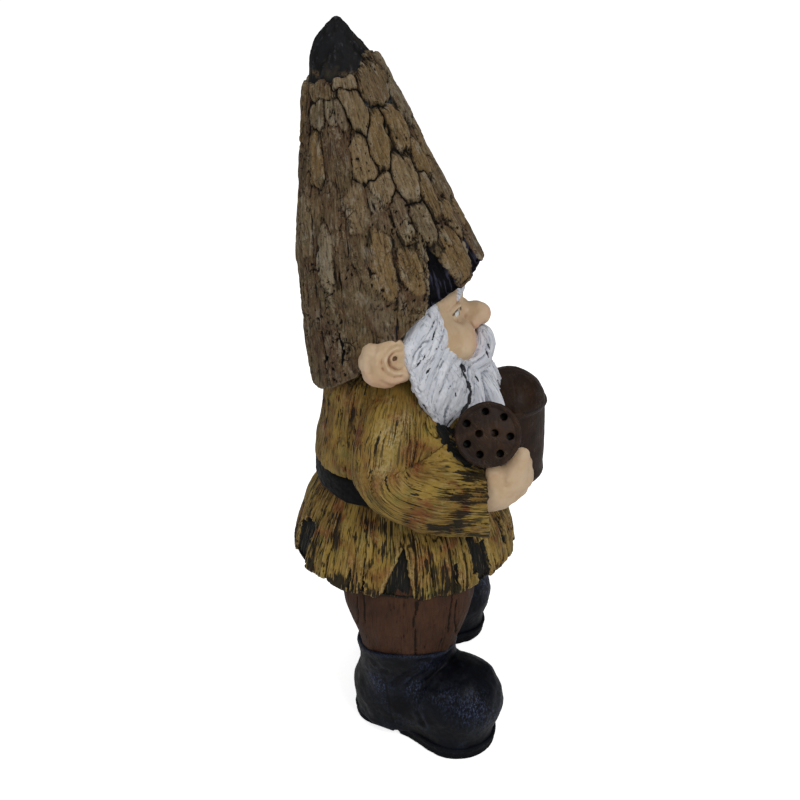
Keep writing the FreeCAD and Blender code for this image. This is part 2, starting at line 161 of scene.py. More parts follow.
# ------------------------------------------------------------------ signed distance fields
def smin(first, second, soft):
    """Union of two distances, rounded over soft."""
    if soft <= 0:
        return np.minimum(first, second)
    near = np.maximum(soft - np.abs(first - second), 0) / soft
    return np.minimum(first, second) - near * near * soft * 0.25


def smax(first, second, soft):
    """Overlap of two distances, rounded over soft."""
    return -smin(-first, -second, soft)


def ellipsoid(x, fore, z, radii, pitch=0.0, yaw=0.0):
    """Pitch lifts the front, yaw turns it towards -x; degrees."""
    if pitch or yaw:
        cp, sp = math.cos(math.radians(pitch)), math.sin(math.radians(pitch))
        cy, sy = math.cos(math.radians(yaw)), math.sin(math.radians(yaw))
        turn = (np.array([[cy, -sy, 0], [sy, cy, 0], [0, 0, 1]])
                @ np.array([[1, 0, 0], [0, cp, -sp], [0, sp, cp]]))
        x, fore, z = (turn[0, i] * x + turn[1, i] * fore + turn[2, i] * z for i in range(3))
    a, b, c = radii
    scaled = np.sqrt((x / a) ** 2 + (fore / b) ** 2 + (z / c) ** 2)
    slope = np.sqrt((x / a ** 2) ** 2 + (fore / b ** 2) ** 2 + (z / c ** 2) ** 2)
    return (scaled * (scaled - 1) / np.maximum(slope, 1e-6)).astype(np.float32)


def tube_distance(x, fore, z, points, radii):
    """Distance to a limb through points, with a radius at each."""
    result = None
    for i in range(len(points) - 1):
        start = points[i]
        run = points[i + 1] - start
        square = float(run @ run) + 1e-9
        dx, df, dz = x - start[0], fore - start[1], z - start[2]
        t = clip01((dx * run[0] + df * run[1] + dz * run[2]) / square)
        away = np.sqrt((dx - t * run[0]) ** 2 + (df - t * run[1]) ** 2 + (dz - t * run[2]) ** 2)
        away = away - (radii[i] + t * (radii[i + 1] - radii[i]))
        result = away if result is None else np.minimum(result, away)
    return result.astype(np.float32)


def side_distance(fore, z, table, radii=0, steps=4):
    """Distance in side view to a line through (fore, z) points."""
    path = resample([(0, *point) for point in table], radii, steps)
    return tube_distance(fore * 0, fore, z, *path)


def loft_distance(grid, section):
    levels = grid.z.astype(float)
    centre, depth, width = (f(levels).astype(np.float32) for f in section)
    ratio = np.sqrt((grid.x / width) ** 2 + ((grid.fore - centre) / depth) ** 2)
    return ((ratio - 1) * np.minimum(width, depth) * LOFT_SCALE).astype(np.float32)


class Grid:
    """A box of distances, negative inside the solid, that shapes are joined to and cut from."""

    def __init__(self, low, high, cell):
        self.low = np.array(low, float)
        self.cell = float(cell)
        self.count = np.ceil((np.array(high, float) - self.low) / cell).astype(int) + 1
        self.field = np.full(self.count, 40.0, np.float32)
        x, fore, z = ((self.low[i] + self.cell * np.arange(self.count[i])).astype(np.float32)
                      for i in range(3))
        self.x, self.fore, self.z = x[:, None, None], fore[None, :, None], z[None, None, :]

    def window(self, low, high):
        """Slices of the part between two corners, and its coordinates."""
        start = np.floor((low - self.low) / self.cell).astype(int)
        stop = np.ceil((high - self.low) / self.cell).astype(int) + 1
        start, stop = np.clip(start, 0, self.count), np.clip(stop, 0, self.count)
        part = tuple(slice(a, b) for a, b in zip(start, stop))
        return part, self.x[part[0]], self.fore[:, part[1]], self.z[:, :, part[2]]

    def blend(self, part, distance, soft, cut):
        if cut:
            self.field[part] = smax(self.field[part], -distance, soft)
        else:
            self.field[part] = smin(self.field[part], distance, soft)

    def join(self, distance, soft):
        self.field[:] = smin(self.field, distance, soft)

    def keep(self, distance, soft):
        """Keep only what lies inside the distance."""
        self.field[:] = smax(self.field, distance, soft)

    def ell(self, centre, radii, soft=0.0, pitch=0.0, yaw=0.0, cut=False):
        margin = max(radii) + soft + 3
        part, x, fore, z = self.window(np.array(centre) - margin, np.array(centre) + margin)
        distance = ellipsoid(x - centre[0], fore - centre[1], z - centre[2], radii, pitch, yaw)
        self.blend(part, distance, soft, cut)

    def tube(self, points, radii, soft=0.0, steps=1, cut=False):
        points, radii = resample(points, radii, steps)
        margin = radii.max() + soft + 3
        part, x, fore, z = self.window(points.min(0) - margin, points.max(0) + margin)
        self.blend(part, tube_distance(x, fore, z, points, radii), soft, cut)


# ------------------------------------------------------------------ surfaces
def neighbour_mean(values, quads):
    """The mean of each vertex's neighbours, for (vertices, columns) values."""
    size = len(values)
    total = np.zeros(values.shape)
    count = np.zeros(size)
    for a in range(4):
        b = (a + 1) % 4
        for i, j in ((quads[:, a], quads[:, b]), (quads[:, b], quads[:, a])):
            for k in range(values.shape[1]):
                total[:, k] += np.bincount(i, values[j, k], size)
            count += np.bincount(i, minlength=size)
    return total / np.maximum(count, 1)[:, None]


def surface(grid):
    """Surface nets of a grid's solid, relaxed once: vertices in mm, and quads."""
    field = grid.field
    for axis in range(3):       # close the solid at the sides of the box
        layers = np.moveaxis(field, axis, 0)
        layers[0] = np.maximum(layers[0], 0.01)
        layers[-1] = np.maximum(layers[-1], 0.01)
    inside = field < 0
    corners = list(np.ndindex(2, 2, 2))
    spans = np.array(field.shape) - 1
    count = sum(inside[tuple(slice(c, c + n) for c, n in zip(corner, spans))].astype(np.uint8)
                for corner in corners)
    active = (count > 0) & (count < 8)
    cells = np.argwhere(active)
    index = np.full(active.shape, -1, np.int64)
    index[active] = np.arange(len(cells))
    level = {c: field[tuple((cells + c).T)].astype(np.float64) for c in corners}
    total = np.zeros((len(cells), 3))
    crossings = np.zeros(len(cells))
    for corner in corners:
        for axis in range(3):
            if corner[axis]:
                continue
            other = list(corner)
            other[axis] = 1
            a, b = level[corner], level[tuple(other)]
            crossed = (a < 0) != (b < 0)
            point = np.tile(np.array(corner, float), (crossed.sum(), 1))
            point[:, axis] += a[crossed] / (a[crossed] - b[crossed])
            total[crossed] += point
            crossings[crossed] += 1
    verts = grid.low + grid.cell * (cells + total / crossings[:, None])
    quads = []
    for axis in range(3):
        near = [slice(1, -1)] * 3
        far = list(near)
        near[axis], far[axis] = slice(0, -1), slice(1, None)
        near_inside = inside[tuple(near)]
        changed = near_inside != inside[tuple(far)]
        leaving = near_inside[changed]
        edges = np.argwhere(changed) + (np.arange(3) != axis)
        ring = []
        for back, down in ((1, 1), (0, 1), (0, 0), (1, 0)):
            cell = edges.copy()
            cell[:, (axis + 1) % 3] -= back
            cell[:, (axis + 2) % 3] -= down
            ring.append(index[tuple(cell.T)])
        ring = np.stack(ring, 1)
        ring[~leaving] = ring[~leaving][:, ::-1]
        quads.append(ring)
    quads = np.concatenate(quads)
    return 0.5 * verts + 0.5 * neighbour_mean(verts, quads), quads


def volume(verts, quads):
    a, b, c, d = (verts[quads[:, i]] for i in range(4))
    return float((np.einsum("ij,ij->i", a, np.cross(b, c))
                  + np.einsum("ij,ij->i", a, np.cross(c, d))).sum() / 6)


def normals(verts, quads):
    across = verts[quads[:, 2]] - verts[quads[:, 0]]
    faces = np.cross(across, verts[quads[:, 3]] - verts[quads[:, 1]])
    result = np.zeros_like(verts)
    for corner in range(4):
        for k in range(3):
            result[:, k] += np.bincount(quads[:, corner], faces[:, k], len(verts))
    if volume(verts, quads) < 0:
        result = -result
    return result / np.maximum(np.linalg.norm(result, axis=1), 1e-9)[:, None]


def displace(verts, quads, amount):
    return verts + normals(verts, quads) * amount[:, None]


def curvature(verts, quads, rounds=2):
    """How far each vertex stands out of its surroundings, in mm; negative in creases."""
    mean = verts
    for _ in range(rounds):
        mean = neighbour_mean(mean, quads)
    out = np.einsum("ij,ij->i", verts - mean, normals(verts, quads))
    return 0.5 * out + 0.5 * neighbour_mean(out[:, None], quads)[:, 0]


def creases_and_ridges(verts, quads, crease, ridge_highlight, rounds=2):
    """Two masks 0..1 from the curvature, each with its gain; the paints use them for painted
    shade in creases and a painted highlight on ridges.
    """
    bend = curvature(verts, quads, rounds)
    return clip01(-bend * crease), clip01(bend * ridge_highlight)


def closed_rows(rows):
    """Vertices and quads of rows of closed rings, with a fan on a middle vertex at each end."""
    rows = np.array(rows)
    row_count, ring_count, _ = rows.shape
    verts = rows.reshape(-1, 3)
    start = np.arange(row_count - 1)[:, None] * ring_count
    column = np.arange(ring_count)
    following = (column + 1) % ring_count
    a, b = start + column[None, :], start + following[None, :]
    quads = np.stack([a, b, b + ring_count, a + ring_count], -1).reshape(-1, 4)
    for row in (0, row_count - 1):
        verts = np.vstack([verts, rows[row].mean(0)])
        middle = np.full(ring_count, len(verts) - 1)
        a, b = row * ring_count + column, row * ring_count + following
        fan = [a, middle, middle, b] if row == 0 else [a, b, middle, middle]
        quads = np.vstack([quads, np.stack(fan, 1)])
    return verts, quads


def with_caps(values, cap=0.0):
    """Adds the value of the two end vertices of closed_rows."""
    return np.append(values, [cap, cap])


def angles(count):
    return np.linspace(-math.pi, math.pi, count, endpoint=False)


def wrap(angle):
    return (angle + math.pi) % FULL_TURN - math.pi


def around(angle, radius, z=0):
    """Points on a cylinder, to look up noise that has no seam."""
    return np.stack([np.cos(angle) * radius, np.sin(angle) * radius, z + 0 * angle], 1)


def ring(section, angle, z, offset=0.0):
    centre, depth, width = section
    return np.stack([-(width(z) + offset) * np.sin(angle),
                     centre(z) + (depth(z) + offset) * np.cos(angle), z + 0 * angle], -1)


def circle(centre_x, centre_fore, radius, angle, z):
    return np.stack([centre_x - radius * np.sin(angle), centre_fore + radius * np.cos(angle),
                     z + 0 * angle], -1)


def onto_right(verts):
    """Vertices with the left side folded onto the right."""
    return np.column_stack([-np.abs(verts[:, 0]), verts[:, 1:]])


PAINTS = {}     # material of each paint name
PIECES = {}     # object and paint name of each piece


def make(name, verts, quads, attributes, paint, mirror=False):
    """Adds a closed mesh, from mm in the figure's axes; an attribute may be a single number."""
    x = -verts[:, 0] if mirror else verts[:, 0]
    placed = np.stack([x, SHIFT - verts[:, 1], verts[:, 2]], 1) / 1000
    if volume(placed, quads) < 0:
        quads = quads[:, ::-1]
    folded = (quads == np.roll(quads, 1, axis=1)).any(1)    # fan quads are really triangles
    full = quads[~folded]
    tris = [[q[i] for i in range(4) if q[i] != q[i - 1]] for q in quads[folded]]
    tris = np.array(tris, int).reshape(-1, 3)
    loops = np.concatenate([full.ravel(), tris.ravel()]).astype(np.int32)
    totals = np.repeat([4, 3], [len(full), len(tris)]).astype(np.int32)
    starts = (np.cumsum(totals) - totals).astype(np.int32)
    mesh = bpy.data.meshes.new(name)
    mesh.vertices.add(len(placed))
    mesh.vertices.foreach_set("co", placed.astype(np.float32).ravel())
    mesh.loops.add(len(loops))
    mesh.loops.foreach_set("vertex_index", loops)
    mesh.polygons.add(len(starts))
    mesh.polygons.foreach_set("loop_start", starts)
    mesh.polygons.foreach_set("loop_total", totals)
    mesh.polygons.foreach_set("use_smooth", np.ones(len(starts), bool))
    mesh.update(calc_edges=True)
    mesh.validate()
    for key, values in attributes.items():
        values = np.asarray(values, np.float32)
        if values.ndim == 2:
            layer = mesh.attributes.new(key, "FLOAT_VECTOR", "POINT")
            layer.data.foreach_set("vector", values.ravel())
        else:
            layer = mesh.attributes.new(key, "FLOAT", "POINT")
            spread = np.broadcast_to(values, (len(placed),))
            layer.data.foreach_set("value", np.ascontiguousarray(spread))
    piece = bpy.data.objects.new(name, mesh)
    bpy.context.scene.collection.objects.link(piece)
    mesh.materials.append(PAINTS[paint])
    PIECES[name] = (piece, paint)


def make_pair(part, verts, quads, attributes, paint):
    """The right-hand piece and its mirror image."""
    make("right_" + part, verts, quads, attributes, paint)
    make("left_" + part, verts, quads, attributes, paint, mirror=True)


# ------------------------------------------------------------------ materials
def rgb(*levels):
    """sRGB 0..255 to linear, with alpha."""
    shares = [level / 255 for level in levels]
    return (*(u / 12.92 if u <= 0.04045 else ((u + 0.055) / 1.055) ** 2.4 for u in shares), 1.0)


class Paint:
    """One node material. Each coat goes over `colour`, the mix so far."""

    def __init__(self, name, specular, metallic=0.0, grained=False):
        self.name = name
        self.material = bpy.data.materials.new(name)
        self.material.use_nodes = True
        self.tree = self.material.node_tree
        self.tree.nodes.clear()
        output = self.node("OutputMaterial")
        self.shader = self.node("BsdfPrincipled")
        self.tree.links.new(self.shader.outputs[0], output.inputs[0])
        self.shader.inputs["Metallic"].default_value = metallic
        self.shader.inputs["Specular IOR Level"].default_value = specular
        self.place = self.node("TexCoord").outputs["Object"]
        if grained:
            self.grain = self.attribute("grain", "Vector")

    def node(self, kind):
        return self.tree.nodes.new("ShaderNode" + kind)

    def put(self, socket, value):
        if isinstance(value, bpy.types.NodeSocket):
            self.tree.links.new(value, socket)
        else:
            socket.default_value = value

    def attribute(self, name, output="Fac"):
        node = self.node("Attribute")
        node.attribute_name = name
        return node.outputs[output]

    def operate(self, kind, operation, values):
        node = self.node(kind)
        node.operation = operation
        for socket, value in zip(node.inputs, values):
            self.put(socket, value)
        return node

    def math(self, operation, *values, clamp=False):
        node = self.operate("Math", operation, values)
        node.use_clamp = clamp
        return node.outputs[0]

    def times(self, first, second, clamp=False):
        return self.math("MULTIPLY", first, second, clamp=clamp)

    def plus(self, first, second):
        return self.math("ADD", first, second)

    def minus(self, first, second):
        return self.math("SUBTRACT", first, second)

    def most(self, first, second, clamp=False):
        return self.math("MAXIMUM", first, second, clamp=clamp)

    def centred(self, wave, gain):
        return self.times(self.minus(wave, 0.5), gain)

    def fray(self, mask, wave, amount):
        """A mask roughened by a noise, to be cut with a ramp."""
        return self.plus(mask, self.centred(wave, amount))

    def scaled(self, coords, factors):
        return self.operate("VectorMath", "MULTIPLY", (coords, factors)).outputs[0]

    def along(self, across, length):
        """Grain coordinates in cells of the given mm across and along the grain."""
        return self.scaled(self.grain, (1 / across, 1 / across, 1 / length))

    def noise(self, coords, scale=1.0, detail=3.0, rough=0.6, warp=0.0, shift=0.0):
        node = self.node("TexNoise")
        node.noise_dimensions = "4D"
        self.put(node.inputs["Vector"], coords)
        for key, value in (("Scale", scale), ("Detail", detail), ("Roughness", rough),
                           ("Distortion", warp), ("W", shift)):
            node.inputs[key].default_value = value
        return node.outputs["Fac"]

    def voronoi(self, coords, scale, feature):
        node = self.node("TexVoronoi")
        node.feature = feature
        self.put(node.inputs["Vector"], coords)
        node.inputs["Scale"].default_value = scale
        return node.outputs["Distance"]

    def ramp(self, value, start, end, low=0.0, high=1.0):
        """Eased from low at start to high at end."""
        node = self.node("MapRange")
        node.interpolation_type = "SMOOTHSTEP"
        node.clamp = True
        for socket, setting in zip(node.inputs, (value, start, end, low, high)):
            self.put(socket, setting)
        return node.outputs[0]

    def mix(self, share, first, second):
        node = self.node("Mix")
        node.data_type = "RGBA"
        node.clamp_factor = True
        for index, value in ((0, share), (6, first), (7, second)):
            self.put(node.inputs[index], value)
        return node.outputs[2]

    def base(self, share, first, second):
        self.colour = self.mix(share, first, second)

    def coat(self, mask, colour, amount=None):
        if amount is not None:
            mask = self.times(mask, amount)
        self.colour = self.mix(mask, self.colour, colour)

    def finish(self, roughness, height, strength, distance):
        """Colour, roughness and bump to the shader; distance is in metres."""
        bump = self.node("Bump")
        bump.inputs["Strength"].default_value = strength
        bump.inputs["Distance"].default_value = distance
        self.put(bump.inputs["Height"], height)
        for key, value in (("Base Color", self.colour), ("Roughness", roughness),
                           ("Normal", bump.outputs[0])):
            self.put(self.shader.inputs[key], value)
        PAINTS[self.name] = self.material


def carved_paint(name, tones, rust, light, dark, dash, dash_level, rust_amount, light_amount,
                 hairline_amount, roughness, bump, specular, shift):
    """Paint over carved wood: three tones, rust, pale worn patches, a painted highlight on the
    ridges, painted shade in the hollows along with the dark carved grooves, and dark dashes in
    the grain.

    dash is a dash's size across and along the grain in mm; a higher dash_level gives fewer.
    """
    p = Paint(name, specular, grained=True)

    def areas(across, length, warp, start, end, low=0.0, high=1.0, seed=0):
        wave = p.noise(p.along(across, length), warp=warp, shift=shift + seed)
        return p.ramp(wave, start, end, low, high)

    hollow, ridge_highlight, rusty, rub_and_highlight, dashed = (
        p.attribute(key) for key in ("groove_and_shade", "ridge_highlight", "rust", "rub", "dash"))
    strokes = p.along(*dash)
    fine = p.noise(strokes, scale=0.9, rough=0.65, warp=0.25, shift=shift + 3)
    fleck = p.noise(p.place, scale=950, detail=2, rough=0.7, shift=shift)
    speck = p.noise(p.place, scale=480, detail=2, rough=0.65, shift=shift + 5)
    # tones in large patches, darkened a little along the grain
    p.base(areas(24, 26, 0.6, 0.36, 0.62, seed=11), *tones[:2])
    p.coat(areas(9, 11, 0.3, 0.50, 0.66, seed=71), tones[2], amount=0.6)
    p.coat(p.ramp(fine, 0.30, 0.50, 0.55, 0.0), p.mix(0.5, p.colour, dark), amount=1.0)
    # rust in loose patches and where the mesh asks for it
    loose = p.times(areas(15, 13, 0.4, 0.52, 0.66, seed=19), 0.66 * rust_amount)
    placed = p.times(rusty, p.ramp(speck, 0.30, 0.54))
    p.coat(p.most(loose, p.times(placed, 0.95)), rust)
    # lights: a painted highlight on ridges, and pale worn paint in loose patches and in placed
    # ones
    on_ridges = p.times(p.ramp(ridge_highlight, 0.08, 0.55), p.ramp(fleck, 0.36, 0.60))
    loose = p.times(areas(11, 15, 0.3, 0.52, 0.68, seed=31), p.ramp(speck, 0.46, 0.62))
    placed = p.times(rub_and_highlight, p.ramp(speck, 0.38, 0.58))
    lights = p.most(p.times(on_ridges, 0.55), p.times(loose, 0.45))
    p.coat(p.most(lights, p.times(placed, 0.75)), light, amount=light_amount)
    # short and long dashes, thick in some parts and rare in others
    region = p.noise(p.along(17, 21), warp=0.5, shift=shift + 41)
    density = p.plus(p.centred(region, -0.85), p.times(dashed, -0.135))
    short = p.noise(strokes, detail=2, rough=0.55, warp=0.15, shift=shift + 43)
    short_level = p.plus(dash_level, density)
    short_dash = p.times(p.minus(short, short_level), 34.0, clamp=True)
    long = p.noise(p.along(dash[0] * 1.9, dash[1] * 2.8),
                   detail=2, rough=0.5, warp=0.2, shift=shift + 53)
    long_level = p.plus(dash_level + 0.035, p.times(density, 0.8))
    long_dash = p.times(p.minus(long, long_level), 26.0, clamp=True)
    # hairlines of the grain, dark and light
    hairline = p.noise(p.along(1.25, 10.0), warp=0.1, shift=shift + 83)
    calm = areas(13, 20, 0.5, 0.40, 0.56, low=0.45, seed=87)
    p.coat(p.times(calm, p.ramp(hairline, 0.40, 0.485, hairline_amount, 0.0)), dark)
    p.coat(p.ramp(hairline, 0.54, 0.66), light, amount=0.30 * light_amount)
    # dashes, specks and hollows painted dark together; in the hollows this is painted shade along
    # with the dark carved grooves
    specks = p.times(p.ramp(speck, 0.62, 0.70), areas(12, 12, 0.2, 0.52, 0.62, seed=63))
    black = p.most(p.most(short_dash, long_dash), p.times(specks, 0.7))
    hollows = p.ramp(p.fray(hollow, speck, 0.9), 0.34, 0.66)
    black = p.most(black, p.times(hollows, 0.9), clamp=True)
    p.coat(black, dark, amount=0.92)
    # the cut notches, black with a few ochre strokes; on the jacket body and sleeves the same
    # black also paints the beard's shadow on the cloth
    notches = p.ramp(p.fray(p.attribute("black"), speck, 0.7), 0.40, 0.60)
    ochre = p.times(p.ramp(short, 0.58, 0.66), 0.75)
    p.coat(notches, p.mix(ochre, rgb(24, 24, 22), rgb(104, 88, 46)))
    height = p.minus(p.times(fine, 0.5), p.times(black, 0.9))
    height = p.plus(height, p.plus(p.times(fleck, 0.25), p.times(hairline, 1.3)))
    p.finish(p.ramp(p.plus(fine, p.times(black, 0.15)), 0.3, 0.8, *roughness), height,
             strength=bump, distance=0.0013)


def bark_paint():
    """The hat's scaly bark: brown and grey scales, dry-brushed and crackled, with a painted
    highlight on ridges and scale tops and painted shade in creases and inside the hat.
    """
    p = Paint("hat_bark", specular=0.13, grained=True)

    def areas(across, length, warp, shift, start, end, rough=0.6):
        wave = p.noise(p.along(across, length), rough=rough, warp=warp, shift=shift)
        return p.ramp(wave, start, end)

    hollow, ridge_highlight, edge = (p.attribute(key) for key in ("groove_and_shade", "ridge_highlight", "edge"))
    split = p.node("SeparateXYZ")
    p.put(split.inputs[0], p.attribute("cell", "Vector"))
    grey_share, ochre_share, top = split.outputs    # two random shares; 1 on a scale's top
    strokes = p.along(1.9, 15.0)
    streak = p.noise(strokes, scale=0.8, detail=4, rough=0.65, warp=0.2, shift=2)
    fine = p.noise(strokes, scale=1.7, rough=0.7, shift=4)
    fleck = p.noise(p.place, scale=1000, detail=2, rough=0.75, shift=9)
    speck = p.noise(p.place, scale=520, detail=2, rough=0.65, shift=10)
    mottle = p.noise(p.along(8.0, 10.0), detail=4, warp=0.5, shift=12)
    broad = p.noise(p.along(24.0, 30.0), rough=0.55, warp=0.5, shift=15)
    # umber and olive; some scales grey, some ochre
    p.base(p.ramp(broad, 0.40, 0.60), rgb(86, 65, 46), rgb(95, 79, 54))
    on_scale = p.ramp(top, 0.05, 0.6)
    p.coat(p.times(on_scale, p.ramp(grey_share, 0.35, 0.85, 0.10, 0.85)), rgb(138, 127, 106))
    ochre = p.ramp(p.plus(ochre_share, p.times(mottle, 0.6)), 0.70, 1.15, 0.05, 0.80)
    p.coat(p.times(on_scale, ochre), rgb(124, 98, 58))
    # dark, red and green patches
    p.coat(p.ramp(mottle, 0.52, 0.68), rgb(66, 52, 38), amount=0.50)
    p.coat(areas(6, 7, 0.2, 22, 0.57, 0.70), rgb(88, 54, 38), amount=0.55)
    p.coat(areas(9, 11, 0.2, 72, 0.58, 0.72), rgb(74, 78, 52), amount=0.40)
    # pale rubbed blotches, stronger on the faces of the scales
    blotch = areas(6.5, 12.0, 0.3, 77, 0.54, 0.66, rough=0.55)
    blotch = p.times(blotch, p.ramp(top, 0.0, 0.5, 0.45, 1.0))
    p.coat(blotch, rgb(156, 147, 130), amount=0.62)
    # dry-brushed beige speckle, thick in patches
    dry = p.times(areas(13, 17, 0.3, 26, 0.46, 0.64), p.ramp(speck, 0.48, 0.62))
    p.coat(dry, rgb(158, 142, 116), amount=0.62)
    p.coat(p.ramp(fine, 0.50, 0.72), rgb(144, 124, 94), amount=0.45)
    # hairlines, a painted highlight on ridges and scale tops, and pepper
    hairline = p.noise(p.along(1.3, 6.0), rough=0.65, warp=0.2, shift=37)
    p.coat(p.ramp(hairline, 0.37, 0.49, 0.66, 0.0), rgb(30, 22, 17))
    p.coat(p.ramp(hairline, 0.56, 0.68), rgb(160, 142, 112), amount=0.35)
    high = p.ramp(p.plus(ridge_highlight, p.times(top, 0.15)), 0.20, 0.85)
    p.coat(p.times(high, p.ramp(fleck, 0.38, 0.66)), rgb(158, 144, 118), amount=0.55)
    pepper = p.times(p.ramp(fleck, 0.56, 0.66), areas(11, 15, 0.2, 82, 0.44, 0.60))
    p.coat(pepper, rgb(24, 18, 14), amount=0.70)
    # dark specks and streaks that gather at the edges of the scales
    near_edge = p.times(edge, 0.12)

    def marks(wave, level, region, gain):
        level = p.minus(p.minus(level, p.centred(region, 0.30)), near_edge)
        return p.times(p.minus(wave, level), gain, clamp=True)

    specks = marks(speck, 0.655, mottle, 14.0)
    streaks = marks(streak, 0.640, broad, 18.0)
    black = p.most(p.times(streaks, 0.85), p.times(specks, 0.80))
    # painted shade: dark in creases and inside the hat, along with the carved cracks, furrows and
    # pits
    black = p.most(black, p.ramp(p.fray(hollow, speck, 1.1), 0.33, 0.76), clamp=True)
    # fine crackle in the paint, in patches between the scales' tops
    wobble = p.noise(p.place, scale=260, detail=2, shift=55)
    wobbled = p.operate("VectorMath", "MULTIPLY_ADD",
                        (p.grain, (1 / 5.5, 1 / 5.5, 1 / 10.0), wobble)).outputs[0]
    crackle = p.ramp(p.voronoi(wobbled, 1.0, "DISTANCE_TO_EDGE"), 0.0, 0.055, 1.0, 0.0)
    crackle = p.times(crackle, areas(15.0, 19.0, 0.3, 57, 0.48, 0.60))
    crackle = p.times(crackle, p.minus(1.0, p.times(top, 0.7)))
    black = p.most(black, crackle, clamp=True)
    p.coat(black, rgb(14, 11, 8), amount=0.95)
    # the cut notches, blue-black with streaks
    notch_wave = p.noise(strokes, scale=0.9, detail=2, warp=0.1, shift=33)
    notch = p.mix(p.ramp(notch_wave, 0.50, 0.62), rgb(8, 7, 12), rgb(54, 54, 70))
    p.coat(p.ramp(p.fray(p.attribute("black"), speck, 0.5), 0.40, 0.60), notch)
    height = p.plus(p.times(fleck, 0.35), p.times(hairline, 1.2))
    height = p.minus(p.plus(p.times(fine, 0.7), height), p.times(black, 0.8))
    p.finish(p.ramp(fine, 0.3, 0.8, 0.62, 0.86), height, strength=0.9, distance=0.0013)


def tip_paint():
    """The hat's near-black tip, with a grey painted highlight on its ridges, painted shade in its
    creases, and brown along the bark.
    """
    p = Paint("hat_tip_paint", specular=0.18)
    wave = p.noise(p.scaled(p.place, (1, 1, 0.35)),
                   scale=160, detail=4, rough=0.65, warp=0.3, shift=3)
    fleck = p.noise(p.place, scale=900, detail=2, rough=0.7, shift=5)
    patch = p.noise(p.place, scale=70, warp=0.2, shift=8)
    p.base(p.ramp(wave, 0.35, 0.7), rgb(10, 10, 12), rgb(27, 28, 31))
    p.coat(p.ramp(patch, 0.56, 0.70), rgb(64, 56, 40), amount=0.45)
    # painted highlight: grey on the ridges
    rub_and_highlight = p.times(p.ramp(p.attribute("ridge_highlight"), 0.1, 0.7), p.ramp(fleck, 0.4, 0.7))
    p.coat(rub_and_highlight, rgb(92, 94, 100), amount=0.60)
    # painted shade: near-black in the creases
    p.coat(p.ramp(p.attribute("groove_and_shade"), 0.2, 0.8), rgb(10, 10, 12))
    p.coat(p.times(p.attribute("edge"), p.ramp(fleck, 0.35, 0.6)), rgb(96, 78, 54))
    p.finish(p.ramp(wave, 0.3, 0.7, 0.55, 0.8), p.plus(wave, p.times(fleck, 0.4)),
             strength=0.6, distance=0.0010)


def skin_paint():
    """Pale skin with brown painted shade in its hollows, a painted highlight on its ridges and
    cheeks, and a blush on the cheeks.
    """
    p = Paint("skin_paint", specular=0.42)
    wave = p.noise(p.place, scale=60, rough=0.55, warp=0.2, shift=1)
    fine = p.noise(p.place, scale=420, shift=6)
    pores = p.voronoi(p.scaled(p.place, (1, 1, 1)), 170.0, "F1")
    tan = p.noise(p.place, scale=120, warp=0.3, shift=16)
    pale = p.noise(p.place, scale=36, warp=0.3, shift=26)
    p.base(p.ramp(wave, 0.35, 0.65), rgb(196, 166, 130), rgb(206, 180, 148))
    p.coat(p.ramp(tan, 0.54, 0.72), rgb(186, 146, 106), amount=0.5)
    p.coat(p.times(p.attribute("blush"), p.ramp(wave, 0.1, 0.6, 0.7, 1.0)), rgb(206, 124, 108))
    # painted shade: brown in the creases, darker in the deepest ones and in the nostrils
    crease_shade = p.ramp(p.fray(p.attribute("groove_and_shade"), fine, 0.3), 0.15, 0.80)
    p.coat(crease_shade, rgb(140, 92, 58), amount=0.70)
    p.coat(p.ramp(p.attribute("groove_and_shade"), 0.60, 1.0), rgb(74, 44, 28), amount=0.7)
    # painted highlight: pale on the ridges and the cheeks
    p.coat(p.ramp(p.attribute("ridge_highlight"), 0.20, 0.8), rgb(228, 208, 180), amount=0.45)
    p.coat(p.ramp(pale, 0.52, 0.66), rgb(214, 186, 150), amount=0.40)
    p.coat(p.attribute("black"), rgb(30, 22, 18))
    p.finish(p.ramp(fine, 0.3, 0.75, 0.42, 0.62), p.plus(p.times(pores, 0.5), p.times(fine, 0.4)),
             strength=0.22, distance=0.0007)


def hair_paint():
    """White hair with grey strands and a few black flecks, with grey-blue and black painted shade
    in the gaps between strands.
    """
    p = Paint("hair_paint", specular=0.22, grained=True)
    strand = p.noise(p.along(1.1, 13.0), scale=0.8, shift=2)
    thread = p.noise(p.along(0.9, 14.0), detail=2, shift=8)
    patch = p.noise(p.place, scale=90, warp=0.2, shift=5)
    fleck = p.noise(p.place, scale=800, detail=2, rough=0.7, shift=7)
    p.base(p.ramp(strand, 0.35, 0.65), rgb(206, 209, 218), rgb(226, 228, 233))
    p.coat(p.ramp(patch, 0.52, 0.70), rgb(200, 196, 200), amount=0.30)
    threads = p.times(p.ramp(thread, 0.53, 0.64), p.ramp(patch, 0.34, 0.54))
    p.coat(threads, rgb(120, 124, 140), amount=0.62)
    # painted shade: grey-blue in the gaps between strands and in creases
    p.coat(p.ramp(p.attribute("groove_and_shade"), 0.12, 0.85), rgb(124, 130, 146), amount=0.62)
    # painted shade: black in broken stretches of the deepest gaps; black also on the flecks
    broken = p.ramp(p.noise(p.along(3.2, 7), detail=2, rough=0.5, warp=0.2, shift=25), 0.53, 0.60)
    gaps = p.times(p.ramp(p.attribute("groove_and_shade"), 0.26, 0.50), broken)
    flecks = p.ramp(p.fray(p.attribute("black"), fleck, 0.5), 0.35, 0.6)
    p.coat(p.most(p.times(gaps, 0.8), flecks), rgb(22, 22, 28), amount=0.95)
    height = p.minus(p.times(strand, 0.8), p.times(threads, 0.6))
    p.finish(p.ramp(fleck, 0.3, 0.7, 0.62, 0.82), p.plus(height, p.times(fleck, 0.25)),
             strength=0.55, distance=0.0010)


